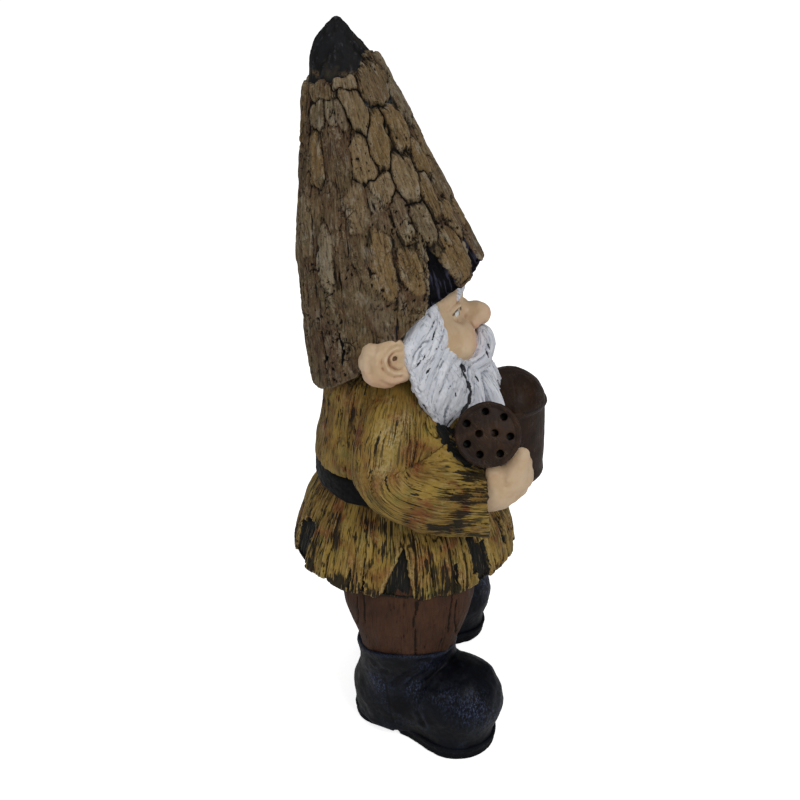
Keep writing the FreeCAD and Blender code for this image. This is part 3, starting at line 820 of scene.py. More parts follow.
def leather_paint(name, tones, light, dark, amount, scale, roughness, specular):
    """Black leather, dry-brushed with light in patches and on worn spots, with a painted
    highlight on ridges and painted shade in creases and folds.
    """
    p = Paint(name, specular)
    wave = p.noise(p.place, scale=55.0 * scale, detail=4, warp=0.3, shift=2)
    fine = p.noise(p.place, scale=330.0 * scale, rough=0.65, warp=0.4, shift=4)
    fleck = p.noise(p.place, scale=1000, detail=2, rough=0.75, shift=6)
    patch = p.noise(p.place, scale=34.0 * scale, warp=0.4, shift=12)
    upright = p.noise(p.scaled(p.place, (1.0, 1.0, 0.28)),
                      scale=900, rough=0.65, warp=0.6, shift=14)
    level = p.noise(p.scaled(p.place, (0.35, 1.0, 0.8)),
                    scale=760, rough=0.65, warp=0.6, shift=24)
    p.base(p.ramp(wave, 0.35, 0.65), *tones)
    worn = p.most(p.ramp(patch, 0.56, 0.72, 0.0, 0.6), p.attribute("rub"))
    brushed = p.times(worn, p.most(p.ramp(upright, 0.50, 0.66), p.ramp(level, 0.52, 0.68)))
    # painted highlight: light on the ridges
    rub_and_highlight = p.times(p.ramp(p.attribute("ridge_highlight"), 0.10, 0.70), p.ramp(fleck, 0.35, 0.65))
    p.coat(p.most(brushed, p.times(rub_and_highlight, 0.28)), light, amount=amount)
    # painted shade: dark in creases, seams and folds
    p.coat(p.ramp(p.attribute("groove_and_shade"), 0.10, 0.7), dark, amount=0.85)
    p.finish(p.ramp(fine, 0.3, 0.7, *roughness), p.plus(p.times(fine, 0.7), p.times(fleck, 0.2)),
             strength=0.35, distance=0.0009)


def tin_paint(name, tones, shift, scratches):
    """Dark brown tin with scratches along the grain, a painted highlight on ridges, and painted
    shade in creases, inside the can and in the rose's holes.
    """
    p = Paint(name, specular=0.17, grained=True)
    strokes = p.along(1.1, 18.0)
    streak = p.noise(strokes, rough=0.65, warp=0.6, shift=shift + 2)
    scratch = p.noise(strokes, scale=2, detail=2, warp=0.6, shift=shift + 4)
    wave = p.noise(p.place, scale=75, detail=4, warp=0.3, shift=shift + 6)
    fleck = p.noise(p.place, scale=700, detail=2, rough=0.7, shift=shift + 8)
    region = p.noise(p.place, scale=120, detail=2, rough=0.5, warp=0.2, shift=shift + 12)
    shade = p.noise(p.place, scale=48, warp=0.3, shift=shift + 21)
    p.base(p.ramp(wave, 0.36, 0.64), *tones)
    p.coat(p.ramp(streak, 0.52, 0.72), rgb(84, 60, 44), amount=0.34)
    line = p.ramp(p.math("ABSOLUTE", p.minus(scratch, 0.5)), 0.0, 0.022, 1.0, 0.0)
    line = p.times(line, p.ramp(region, 0.52, 0.64))
    p.coat(line, rgb(120, 98, 82), amount=0.50 * scratches)
    # painted highlight: lighter on the ridges
    rub_and_highlight = p.times(p.ramp(p.attribute("ridge_highlight"), 0.12, 0.7), p.ramp(fleck, 0.35, 0.65))
    p.coat(rub_and_highlight, rgb(98, 76, 60), amount=0.32)
    p.coat(p.ramp(shade, 0.52, 0.66), rgb(38, 26, 20), amount=0.45)
    # painted shade: near-black in creases and inside the can
    p.coat(p.ramp(p.attribute("groove_and_shade"), 0.12, 0.75), rgb(14, 10, 8), amount=0.90)
    # painted shade: black inside the can and in the rose's holes
    p.coat(p.attribute("black"), rgb(9, 7, 6))
    height = p.plus(p.times(streak, 0.5), p.times(fleck, 0.2))
    p.finish(p.ramp(streak, 0.3, 0.75, 0.40, 0.62), p.minus(height, p.times(line, 0.8)),
             strength=0.45, distance=0.0007)


def steel_paint():
    """Drawn steel with brown rust patches."""
    p = Paint("armature_steel", specular=0.5, metallic=0.85)
    drawn = p.noise(p.scaled(p.place, (1, 1, 0.1)), scale=500, shift=1)
    patch = p.noise(p.place, scale=45, detail=4, warp=0.3, shift=3)
    p.base(p.ramp(drawn, 0.3, 0.7), rgb(120, 120, 122), rgb(150, 150, 152))
    p.coat(p.ramp(patch, 0.5, 0.66), rgb(104, 66, 42), amount=0.7)
    p.finish(p.ramp(patch, 0.3, 0.7, 0.35, 0.6), drawn, strength=0.3, distance=0.0005)


def eye_paint():
    """White of the eye, blue-grey iris, pupil and a dark line under the upper lid."""
    p = Paint("eye_paint", specular=0.6)
    wave = p.noise(p.place, scale=700, detail=2, shift=1)
    p.base(p.ramp(wave, 0.3, 0.7), rgb(214, 214, 212), rgb(228, 228, 226))
    iris = p.mix(p.ramp(wave, 0.4, 0.6), rgb(66, 88, 110), rgb(52, 72, 94))
    p.coat(p.attribute("iris"), iris)
    p.coat(p.attribute("pupil"), rgb(12, 12, 14))
    p.coat(p.attribute("lash"), rgb(28, 22, 20))
    p.finish(p.ramp(wave, 0.3, 0.7, 0.22, 0.34), wave, strength=0.1, distance=0.0003)


carved_paint("jacket_paint", tones=(rgb(124, 94, 38), rgb(158, 129, 57), rgb(120, 112, 51)),
             rust=rgb(120, 56, 27), light=rgb(184, 162, 112), dark=rgb(15, 14, 10),
             dash=(1.0, 11.0), dash_level=0.630, rust_amount=1.0, light_amount=1.0,
             hairline_amount=0.62, roughness=(0.50, 0.76), bump=1.0, specular=0.24, shift=1.0)
carved_paint("trouser_paint", tones=(rgb(62, 38, 23), rgb(72, 45, 28), rgb(56, 36, 24)),
             rust=rgb(60, 32, 20), light=rgb(98, 74, 54), dark=rgb(18, 13, 10),
             dash=(1.8, 16.0), dash_level=0.71, rust_amount=0.6, light_amount=0.30,
             hairline_amount=0.35, roughness=(0.62, 0.86), bump=0.45, specular=0.22, shift=5.0)
bark_paint()
tip_paint()
skin_paint()
hair_paint()
leather_paint("boot_paint", tones=(rgb(3, 4, 9), rgb(7, 10, 20)), light=rgb(98, 112, 150),
              dark=rgb(1, 1, 3), amount=0.56, scale=1.0, roughness=(0.40, 0.58), specular=0.15)
leather_paint("sole_paint", tones=(rgb(8, 9, 14), rgb(13, 15, 22)), light=rgb(54, 62, 78),
              dark=rgb(2, 2, 4), amount=0.35, scale=1.4, roughness=(0.5, 0.75), specular=0.11)
leather_paint("belt_paint", tones=(rgb(7, 7, 8), rgb(13, 12, 14)), light=rgb(54, 56, 64),
              dark=rgb(4, 4, 6), amount=0.32, scale=1.2, roughness=(0.45, 0.7), specular=0.10)
tin_paint("can_paint", tones=(rgb(33, 20, 11), rgb(46, 29, 17)), shift=0.0, scratches=1.0)
tin_paint("rose_paint", tones=(rgb(36, 23, 14), rgb(55, 37, 25)), shift=30.0, scratches=1.5)
steel_paint()
eye_paint()


# ------------------------------------------------------------------ hat
# z, back, front, half-width
HAT = [(256, -61, 61, 59), (293, -65, 62, 61.5), (323, -67, 60.5, 62), (352, -69, 57, 61),
       (366, -69, 49.5, 58), (380, -68, 42, 54), (393, -67, 35, 50), (407, -65.5, 27.5, 46),
       (420, -64.5, 21, 42), (433, -64, 14, 38.5), (446, -63, 7.5, 34.5), (459, -61, 1, 30.5),
       (471, -59, -6, 26), (484, -58.5, -14.0, 21.5), (496, -55.5, -24.5, 15),
       (508, -42.5, -35.5, 6)]
hat_section = section_curves(HAT)
# height of the hat's lower edge: fore, z
BRIM = [(-70, 259), (-64, 262), (-50, 272), (-28, 289), (-14, 305), (-1, 319), (12, 331),
        (29, 341), (45, 347), (58, 351.5), (66, 353)]
brim_height = curve(*zip(*BRIM))

# bark scales that stand out on the figure's right:
# degrees round the hat, z, half-width, half-height, lean, how far they stand out
SCALES = [(47.8, 471, 11.0, 11.5, 0.20, 1.0), (84.0, 457, 6.6, 13.5, -0.25, 1.0),
          (67.0, 439, 7.3, 16.9, 0.12, 1.0), (42.0, 444, 8.4, 14.5, -0.20, 1.0),
          (55.0, 417, 9.8, 13.8, 0.10, 1.1), (90.0, 429, 7.6, 14.2, 0.05, 0.75),
          (135.8, 425, 7.0, 15.1, 0.0, 0.7), (131.5, 452, 6.6, 9.0, 0.0, 0.8),
          (128.0, 467, 10.5, 5.6, 0.0, 0.8), (92, 473.5, 6.5, 4.0, 0.1, 0.7),
          (36.5, 405, 5.8, 15.7, 0.10, 0.7), (78.5, 412, 6.8, 8.9, 0.1, 0.6),
          (122.0, 398, 6.9, 15.1, 0.05, 0.35), (91.0, 366, 7.7, 20.1, 0.08, 0.55),
          (130.3, 364, 5.8, 21.5, 0.05, 0.6), (69.8, 394, 5.4, 13.1, 0.10, 0.7),
          (54.8, 389, 7.0, 12.0, 0.10, 0.75), (40.0, 366, 10.0, 15.0, 0.0, 0.6),
          (73.8, 362, 6.3, 15.5, 0.10, 0.5), (30.0, 426, 5.5, 13.0, -0.10, 0.7),
          (14.0, 458, 7.0, 12.5, 0.0, 0.8), (25.0, 385, 6.5, 12.0, 0.0, 0.6),
          (102.5, 399, 7.0, 14.2, 0.10, 0.3), (150.0, 380, 8.0, 23.2, 0.0, 0.4),
          (113.0, 345, 8.0, 17.0, 0.06, 0.22), (112, 430, 8.5, 16, 0.0, 0.22),
          (108.0, 455, 6.5, 9.0, 0.0, 0.45)]

# black notches at the brim: degrees and z of the apex, degrees of the two lower corners,
# their drops below the apex, depth
HAT_NOTCHES = [(58.5, 378.5, 69.5, 46.0, 40, 30, 3.8), (20.5, 381, 33.0, 10.0, 40, 30, 3.4),
               (-58.0, 377, -70.0, -49.0, 42, 32, 3.6), (-19.0, 373, -26, -10, 34, 28, 3.2)]
# black splits near the brim: degrees, top z, bottom z, width
HAT_SPLITS = [(103.0, 300, 276, 1.2), (-112.0, 306, 270, 1.2), (165, 292, 262, 1.3),
              (124.5, 318, 296, 1.3), (140.0, 300, 276, 0.9), (88.0, 330, 312, 0.8)]


def notch_mask(across, z, apex, left, right, soft, jag):
    """1 inside a notch that opens downwards from its apex, in (across, z) mm."""
    def side(start, end, inner):
        run, rise = end[0] - start[0], end[1] - start[1]
        away = ((across - start[0]) * rise - (z - start[1]) * run) / math.hypot(run, rise)
        inner_side = (inner[0] - start[0]) * rise - (inner[1] - start[1]) * run
        return away * math.copysign(1, inner_side)
    inward = np.minimum(side(apex, left, right), side(apex, right, left))
    return smooth(-soft, soft, inward + jag)


def brim_line(angle):
    """z of the hat's lower edge, found by iteration as the hat's depth changes with z."""
    centre, depth, _ = hat_section
    z = np.full_like(angle, 310.0)
    for _ in range(40):
        z = 0.6 * z + 0.4 * brim_height(centre(z) + depth(z) * np.cos(angle))
    front = np.cos(angle)
    wave = ripple(around(angle, 3), 1, 5, 1) * 3.0 + ripple(around(angle, 11), 1, 6, 1) * 2.2
    return z + wave * (1 - 0.8 * smooth(0.6, 1.0, front)) + 2.4 * smooth(0.7, 1.0, front)


def scatter_scales(rng):
    """The placed scales, the same on the left with changes, and loose fill between."""
    scales = [(math.radians(scale[0]), *scale[1:]) for scale in SCALES]
    for degrees, z, width, height, lean, stand in SCALES:
        scales.append((-math.radians(degrees) + rng.normal(0, 0.03), z + rng.normal(0, 3),
                       width * rng.uniform(0.9, 1.15), height * rng.uniform(0.9, 1.1),
                       -lean + rng.normal(0, 0.06), stand * rng.uniform(0.8, 1.1)))
    for attempt in range(7000):
        z = 255 + 225 * rng.random()
        angle = -math.pi + FULL_TURN * rng.random()
        radius = float(mean_radius(hat_section, z))
        size = (0.85 + 0.45 * rng.random()) * (1.0 if attempt < 3500 else 0.62)
        width = 7.6 * size
        height = 15.0 * size * (0.85 + 0.4 * rng.random())
        if any((abs(wrap(angle - other[0])) * radius / (width + other[2])) ** 2
               + ((z - other[1]) / (height + other[3])) ** 2 < 0.80 for other in scales):
            continue
        back = 0.5 - 0.5 * math.cos(angle)
        stand = 0.50 - 0.22 * back + 0.30 * min(1, max(0, (z - 390) / 60))
        stand *= rng.uniform(0.6, 1.25)
        if 0.9 < abs(angle) < 2.7 and z < 440:
            stand *= 0.55
        scales.append((angle, z, width, height, rng.normal(0, 0.12), stand))
    return np.array(scales)


def nearest_scales(scales, angle, z, radius, place):
    """Relative distance to the nearest scale and the next, its number and the place on it."""
    def wobble(seed, amount):
        return (ripple(place, (9, 9, 12), seed, 1) * amount
                + ripple(place, (3, 3, 4), seed + 2, 1) * 1.6)
    wobble_across, wobble_up = wobble(21, 4.5), wobble(22, 6)
    size = len(angle)
    nearest, second = np.full(size, 3.0), np.full(size, 3.0)
    owner = np.zeros(size, int)
    across, up = np.zeros(size), np.zeros(size)
    for k, (scale_angle, scale_z, width, height, lean, _) in enumerate(scales):
        offset = wrap(angle - scale_angle) * radius
        near = (np.abs(offset) < 3.2 * width + 4) & (np.abs(z - scale_z) < 2.6 * height + 4)
        dz = z[near] - scale_z + wobble_up[near]
        du = offset[near] + wobble_across[near] + lean * dz
        away = (np.abs(du / width) ** 2.5 + np.abs(dz / height) ** 2.5) ** (1 / 2.5)
        before = nearest[near]
        new = away < before
        second[near] = np.where(new, before, np.minimum(second[near], away))
        nearest[near] = np.where(new, away, before)
        owner[near] = np.where(new, k, owner[near])
        across[near] = np.where(new, du / width, across[near])
        up[near] = np.where(new, dz / height, up[near])
    return nearest, second, owner, across, up


def hat_shell():
    ring_count, outer_rows = 352, 258
    angle = angles(ring_count)
    bottom = brim_line(angle)
    ahead = np.cos(angle - math.radians(12))
    top = (473.0 - 5.5 * smooth(-0.55, -0.9, np.cos(angle)) + 3.5 * smooth(-0.2, 0.4, ahead)
           + 11 * smooth(0.4, 1.0, ahead) + ripple(around(angle, 4.6), 1, 8, 1) * 4)
    # inside and round the lower edge, up the outside, then in over the top: offset, rise
    rows = [ring(hat_section, angle, bottom + rise, offset) for offset, rise in
            ((-7, 26), (-7, 14), (-6.6, 5), (-6.0, 1.2), (-4.6, -0.6), (-2.6, -1.0),
             (-0.9, -0.6))]
    first_outer = len(rows)
    rows += [ring(hat_section, angle, bottom + (top - bottom) * share)
             for share in np.linspace(0, 1, outer_rows)]
    past_outer = len(rows)
    rows += [ring(hat_section, angle, top + rise, offset)
             for offset, rise in ((-1.0, 0.7), (-2.6, 0.9), (-5, 0.6), (-9, 0))]
    verts, quads = closed_rows(rows)
    angle = np.tile(angle, len(rows))
    row = np.repeat(np.arange(len(rows)), ring_count)
    z = verts[:-2, 2]
    radius = mean_radius(hat_section, z)
    place = around(angle, 55, z)

    rng = np.random.default_rng(11)
    scales = scatter_scales(rng)
    count = len(scales)
    lift = rng.random(count)
    slope_up = rng.normal(0.5, 0.5, count)
    slope_across = rng.normal(0, 0.6, count)
    nearest, second, owner, across, up = nearest_scales(scales, angle, z, radius, place)
    gap = second - nearest
    stand = scales[owner, 5]
    stand = np.where(nearest > 1.6, stand * smooth(2.6, 1.6, nearest), stand)
    ragged = nearest + ripple(place, (2.2, 2.2, 3.2), 25, 1) * 0.16
    # rounded top of a scale, falling to 0 where two scales meet
    plateau = smooth(1.20, 0.86, ragged) * (1 - np.exp(-(gap / 0.20) ** 1.6))
    moat = (smooth(0.98, 1.16, ragged) * smooth(1.62, 1.30, nearest)
            * smooth(0.30, 0.55, noise(place, (5, 5, 8), 26)))
    crack = np.maximum(np.exp(-(gap / 0.085) ** 2) * smooth(1.5, 1.15, nearest), moat * 0.75)
    streak = ripple(place, (2.6, 2.6, 24), 41, 3)
    short_streak = ripple(place, (1.6, 1.6, 8), 44)
    lump = ripple(place, (15, 15, 22), 47)
    pit = (smooth(0.66, 0.78, noise(place, (2.0, 2.0, 2.6), 48, 2))
           * smooth(0.45, 0.6, noise(place, 18, 50)))
    # long furrows, most of all at the back
    furrow = thin(ripple(place, (6, 6, 80), 49), 0.022)
    furrow = (furrow * (1 - 0.7 * smooth(0.35, 0.6, stand))
              * smooth(0.45, 0.6, noise(place, (14, 14, 34), 51)))
    back_furrow = thin(ripple(place, (9, 9, 120), 52, 1), 0.02)
    furrow = np.maximum(furrow, back_furrow * smooth(-0.55, -0.8, np.cos(angle)) * 0.9)
    depth = stand * (plateau * (2.0 + (lift[owner] - 0.5) - slope_up[owner] * up * 0.55
                                + slope_across[owner] * across * 0.35) - 0.9 - crack)
    depth = (depth + streak * 1.9 + short_streak * 1.2 + lump * 2.4 - furrow * 1.3 - pit * 1.2)

    black = np.zeros(len(z))
    jag = ripple(place, 2.2, 61, 1) * 1.8 + ripple(place, (1.4, 1.4, 4), 62, 1)
    for at, apex, left, right, left_drop, right_drop, deep in HAT_NOTCHES:
        offset = wrap(angle - math.radians(at)) * radius
        corners = [(math.radians(corner - at) * 61, apex - drop)
                   for corner, drop in ((left, left_drop), (right, right_drop))]
        mask = (notch_mask(offset, z, (0, apex), *corners, 0.7, jag)
                * smooth(-1.2, 0.2, apex - z) * (np.abs(offset) < 30))
        black = np.maximum(black, mask)
        depth = depth * (1 - mask) + mask * (-deep + streak * 3.0)
    for at, high, low, width in HAT_SPLITS:
        offset = wrap(angle - math.radians(at)) * radius + ripple(place, 5.0, 64, 1) * 3.5
        mask = (smooth(width * 1.4, width * 0.6, np.abs(offset))
                * smooth(high + 2, high - 3, z) * smooth(low - 6, low, z)
                * smooth(0.30, 0.5, noise(place, 3.2, 63) + 0.1))
        black = np.maximum(black, mask * 0.9)
        depth = depth - mask * 1.4
    # no relief inside and little over the top
    depth = (depth * smooth(first_outer - 4, first_outer + 3, row)
             * (1 - 0.75 * smooth(past_outer - 3, past_outer + 3, row))
             * np.where(row < past_outer + 1, 1.0, 0.2))
    # the bark layer stands slightly proud of the tip
    share = (row - first_outer) / outer_rows
    depth = depth + 0.9 * smooth(0.93, 0.985, share) * (row < past_outer)
    verts = displace(verts, quads, with_caps(depth))

    crease, ridge_highlight = creases_and_ridges(verts, quads, 1.7, 1.8, 3)
    strength = clip01(stand * 1.25)
    carved = highest(crack * strength, furrow * 0.8, pit * 0.7)
    # dark carved cracks, furrows and pits, with painted shade in creases and inside the hat
    hollow = clip01(with_caps(carved) * 0.85 + crease * 0.5)
    hollow = np.maximum(hollow, with_caps(row < first_outer - 2, 1) * 0.8)
    # painted highlight on ridges and on the scales' tops
    ridge_highlight = ridge_highlight + with_caps(strength * plateau * 0.22)
    edge = with_caps(smooth(0.72, 1.05, nearest) * smooth(1.5, 1.15, nearest) * strength)
    cell = np.vstack([rng.random((count, 3))[owner], np.full((2, 3), 0.5)])
    cell[:, 2] = with_caps(strength * plateau)
    make("hat_shell_vis", verts, quads,
         {"groove_and_shade": hollow, "ridge_highlight": ridge_highlight, "cell": cell, "black": with_caps(black),
          "grain": np.vstack([place, verts[-2:]]), "edge": edge}, "hat_bark")


def hat_tip():
    """The dark tip, rounded at the top and chiselled into planes."""
    levels = np.concatenate([np.linspace(458, 500, 50),
                             500 + 8.0 * np.sin(np.linspace(0.05, 1, 20) * math.pi / 2)])
    verts, quads = closed_rows([ring(hat_section, angles(150), z, -1.6) for z in levels])
    rng = np.random.default_rng(5)
    aims = []       # angle round the hat and rise of each plane's normal, in radians
    for i in range(9):
        aims.append((FULL_TURN * (i + 0.5 * rng.random()) / 9, 0.30 + 0.25 * rng.random()))
    aims += [(2.9, 0.95), (1.1, 0.8), (0.0, 0.72), (-1.3, 0.8)]
    centre = np.array([0.0, -34.0, 478.0])
    arm = verts - centre
    shrink = np.ones(len(verts))
    for angle, rise in aims:
        normal = np.array([-math.sin(angle) * math.cos(rise), math.cos(angle) * math.cos(rise),
                           math.sin(rise)])
        reach = arm @ normal
        limit = reach.max() * (0.945 if normal[2] < 0.7 else 0.955)
        cut = np.where(reach > 1e-6, limit / np.maximum(reach, 1e-6), 1)
        shrink = np.minimum(shrink, cut)
    amount = smooth(474, 486, verts[:, 2])
    verts = centre + arm * (1 + (shrink - 1) * amount * 0.9)[:, None]
    streak = ripple(verts, (3.0, 3.0, 12), 71, 3)
    verts = displace(verts, quads, streak * 2.0 * smooth(466, 478, verts[:, 2]))
    crease, ridge_highlight = creases_and_ridges(verts, quads, 3, 3)
    bark_top = 474.5 + 12 * smooth(0.1, 1.0, (verts[:, 1] + 34) / 24)
    edge = thin(verts[:, 2] - bark_top - 1.5, 3.5) * smooth(0.45, 0.62, noise(verts, 3.0, 73))
    make("hat_tip_vis", verts, quads, {"groove_and_shade": crease, "ridge_highlight": ridge_highlight, "edge": edge},
         "hat_tip_paint")


# ------------------------------------------------------------------ jacket, belt, trousers
# z, back, front, half-width
BODY = [(190, -54, 54, 54), (198, -57.5, 57.5, 57.5), (206, -61.0, 61, 61),
        (215, -61.5, 62.5, 62), (231, -57.5, 60, 60.5), (247, -55, 55, 57),
        (262, -53.5, 47, 53), (275, -50, 40, 47), (286, -42, 32, 38)]
SKIRT = [(126, -79, 83, 83), (133, -79.5, 85.5, 85.5), (147, -76, 83, 81),
         (165, -70.5, 76.5, 74.0), (180, -63.5, 66, 65), (190, -57, 58.5, 58.5),
         (200, -52, 53, 53)]
LEG = [(66, -26.5, 38, 31), (72, -29, 41, 33.5), (82, -30.5, 43, 35.5), (94, -35, 48, 38.5),
       (110, -40, 53, 41.0), (130, -42, 54, 41.5), (152, -42, 50, 38), (172, -38, 44, 30)]
# distance of a leg's middle from the figure's: z, x
LEG_MIDDLE = [(66, 47), (82, 47), (110, 44.5), (130, 42), (152, 36), (172, 30)]
body_section = section_curves(BODY)
skirt_section = section_curves(SKIRT)

# the right arm's middle line from shoulder to cuff, and its radii
ARM = [(-42, -4, 261), (-55, -6, 251), (-65, -8, 238), (-71, -8, 225), (-75, -1, 217),
       (-76, 9, 213), (-76, 24, 209), (-74, 41, 206), (-71, 60, 203)]
ARM_RADII = [17, 22.0, 24.0, 23.5, 22.5, 22.0, 21.5, 20.0, 19.0]
CUFF_X, CUFF_Z = -71.5, 203

# painted patches on the jacket's right, copied to its left: centre, radii
RUST_SPOTS = [((-52, -37, 262), (14, 7, 11)), ((-66, -27, 250), (14, 5, 9)),
              ((-74, -22, 236), (14, 4, 12)), ((-82, -4, 233), (16, 4, 7)),
              ((-84, -16, 226), (14, 5, 8)), ((-46, -50, 240), (14, 5, 12)),
              ((-80, 10, 236), (12, 4, 5)), ((-90, -34, 172), (14, 10, 8)),
              ((-92, 8, 178), (14, 8, 8)), ((-90, -10, 150), (14, 14, 6))]
RUBBED_SPOTS = [((-84, -12, 238), (16, 6, 12)), ((-78, -8, 256), (14, 9, 8)),
                ((-70, 2, 262), (14, 8, 6)), ((-88, -26, 181), (14, 12, 6)),
                ((-90, 0, 176), (14, 9, 6)), ((-80, 2, 228), (14, 5, 6))]
# the beard's painted shadow, a black line on the cloth along the beard: (fore, z) and radii
BEARD_LINE = [(8, 285), (15.8, 271.9), (21.6, 261.6), (26.2, 253.2), (33.0, 244.7),
              (40.0, 238.0), (46.1, 232.1)]
BEARD_LINE_RADII = [0.6, 0.9, 1.3, 1.6, 2.2, 2.6, 2.2]


def grooves(grain, across, along, width, seed, density):
    """1 on thin broken lines that follow the grain."""
    wave = ripple(grain, (across, across, along), seed)
    breaks = noise(grain, (across * 3.4, across * 3.4, along * 0.9), seed + 5)
    return thin(wave, width) * smooth(density, density + 0.14, breaks)


def paint_patches(verts):
    """Painted rust and rubbed-light areas on the jacket."""
    wobble = np.stack([ripple(verts, 6, seed, 1) for seed in (91, 92, 93)], 1) * 5
    points = onto_right(verts) + wobble
    return {key: clip01(highest(*(spot(points, *entry) for entry in spots)) * 1.2)
            for key, spots in (("rust", RUST_SPOTS), ("rub", RUBBED_SPOTS))}


def beard_shadow(verts):
    fore, z = (verts[:, i] + ripple(verts, 2.6, seed, 1) * 3.0 for i, seed in ((1, 95), (2, 96)))
    away = side_distance(fore, z, BEARD_LINE, BEARD_LINE_RADII, 3)
    return smooth(0.9, -0.9, away) * (verts[:, 1] > 0)


def make_cloth(name, verts, quads, grain, depth, hollow, extra, paint, black=0, gain=1.3,
               mirror=False):
    """Displaces a carved piece by depth and makes it."""
    verts = displace(verts, quads, depth)
    crease, ridge_highlight = creases_and_ridges(verts, quads, gain, gain * 1.1, 3)
    attributes = {"groove_and_shade": clip01(np.maximum(crease * 0.8, hollow)), "ridge_highlight": ridge_highlight,
                  "grain": grain, "black": black}
    make(name, verts, quads, {**attributes, **extra}, paint, mirror)


def jacket_body():
    grid = Grid((-72, -70, 190), (72, 72, 292), 1.3)
    grid.field[:] = loft_distance(grid, body_section)
    grid.keep(grid.z - 285, 6)
    grid.keep(196.5 - grid.z, 6)
    verts, quads = surface(grid)
    x, fore, z = verts.T
    radius = np.maximum(np.hypot(x, fore - 1), 1e-6)
    grain = np.stack([x / radius * 58, (fore - 1) / radius * 58, z], 1)
    long_grooves = grooves(grain, 4.6, 46, 0.050, 101, 0.48)
    short_grooves = grooves(grain, 2.6, 20, 0.080, 111, 0.55)
    fibre = ripple(grain, (1.9, 1.9, 19), 113)
    # soft folds that gather over the belt
    fold = ripple(grain, (11, 11, 60), 121) * smooth(262, 205, z)
    lump = ripple(grain, 20, 125)
    # open splits above the belt: degrees, z of the apex
    angle = np.arctan2(-x, fore)
    jag = ripple(verts, 2, 131, 1) * 1.5
    black = np.zeros(len(verts))
    for at, apex in ((118, 226), (127, 216), (-122, 224), (180, 220), (152, 230)):
        offset = wrap(angle - math.radians(at)) * 59
        foot = apex - 24
        mask = notch_mask(offset, z, (0.5, apex), (-2.2, foot), (2.0, foot), 0.8, jag)
        black = np.maximum(black, mask * smooth(apex - 20, apex - 15, z))
    depth = (-long_grooves - short_grooves * 0.5 + fibre * 1.1
             + (fold * 2.6 + lump * 2.2) * smooth(198, 210, z) - black * 1.4)
    # dark carved grooves, with painted shade down towards the belt and high at the front under
    # the beard
    hollow = highest(long_grooves * 0.8, short_grooves * 0.4, 0.42 * smooth(205, 197, z),
                     0.5 * smooth(268, 276, z) * smooth(20, 5, fore))
    make_cloth("jacket_body_vis", verts, quads, grain, depth * smooth(196, 209, z), hollow,
               paint_patches(verts), "jacket_paint", np.maximum(black, beard_shadow(verts)))


def arm_grain(verts):
    """Coordinates round and along the arm, and the length along it."""
    points, _ = resample(ARM, ARM_RADII, 6)
    best = np.full(len(verts), 1e9)
    length = np.zeros(len(verts))
    frame_offset = np.zeros((len(verts), 2))
    start = 0.0
    for a, b in zip(points[:-1], points[1:]):
        run = np.linalg.norm(b - a)
        heading = (b - a) / run
        t = clip01((verts - a) @ (b - a) / run ** 2)
        offset = verts - (a + t[:, None] * (b - a))
        away = np.linalg.norm(offset, axis=1)
        new = away < best
        best[new] = away[new]
        length[new] = start + t[new] * run
        # the first axis stays near x and the second turns with the arm
        side = np.array([1.0, 0, 0]) - heading * heading[0]
        side /= np.linalg.norm(side)
        turned = np.cross(heading, side)
        frame_offset[new] = np.stack([offset[new] @ side, offset[new] @ turned], 1)
        start += run
    size = np.maximum(np.linalg.norm(frame_offset, axis=1), 1e-6)[:, None]
    return np.column_stack([frame_offset / size * 24.0, length]), length


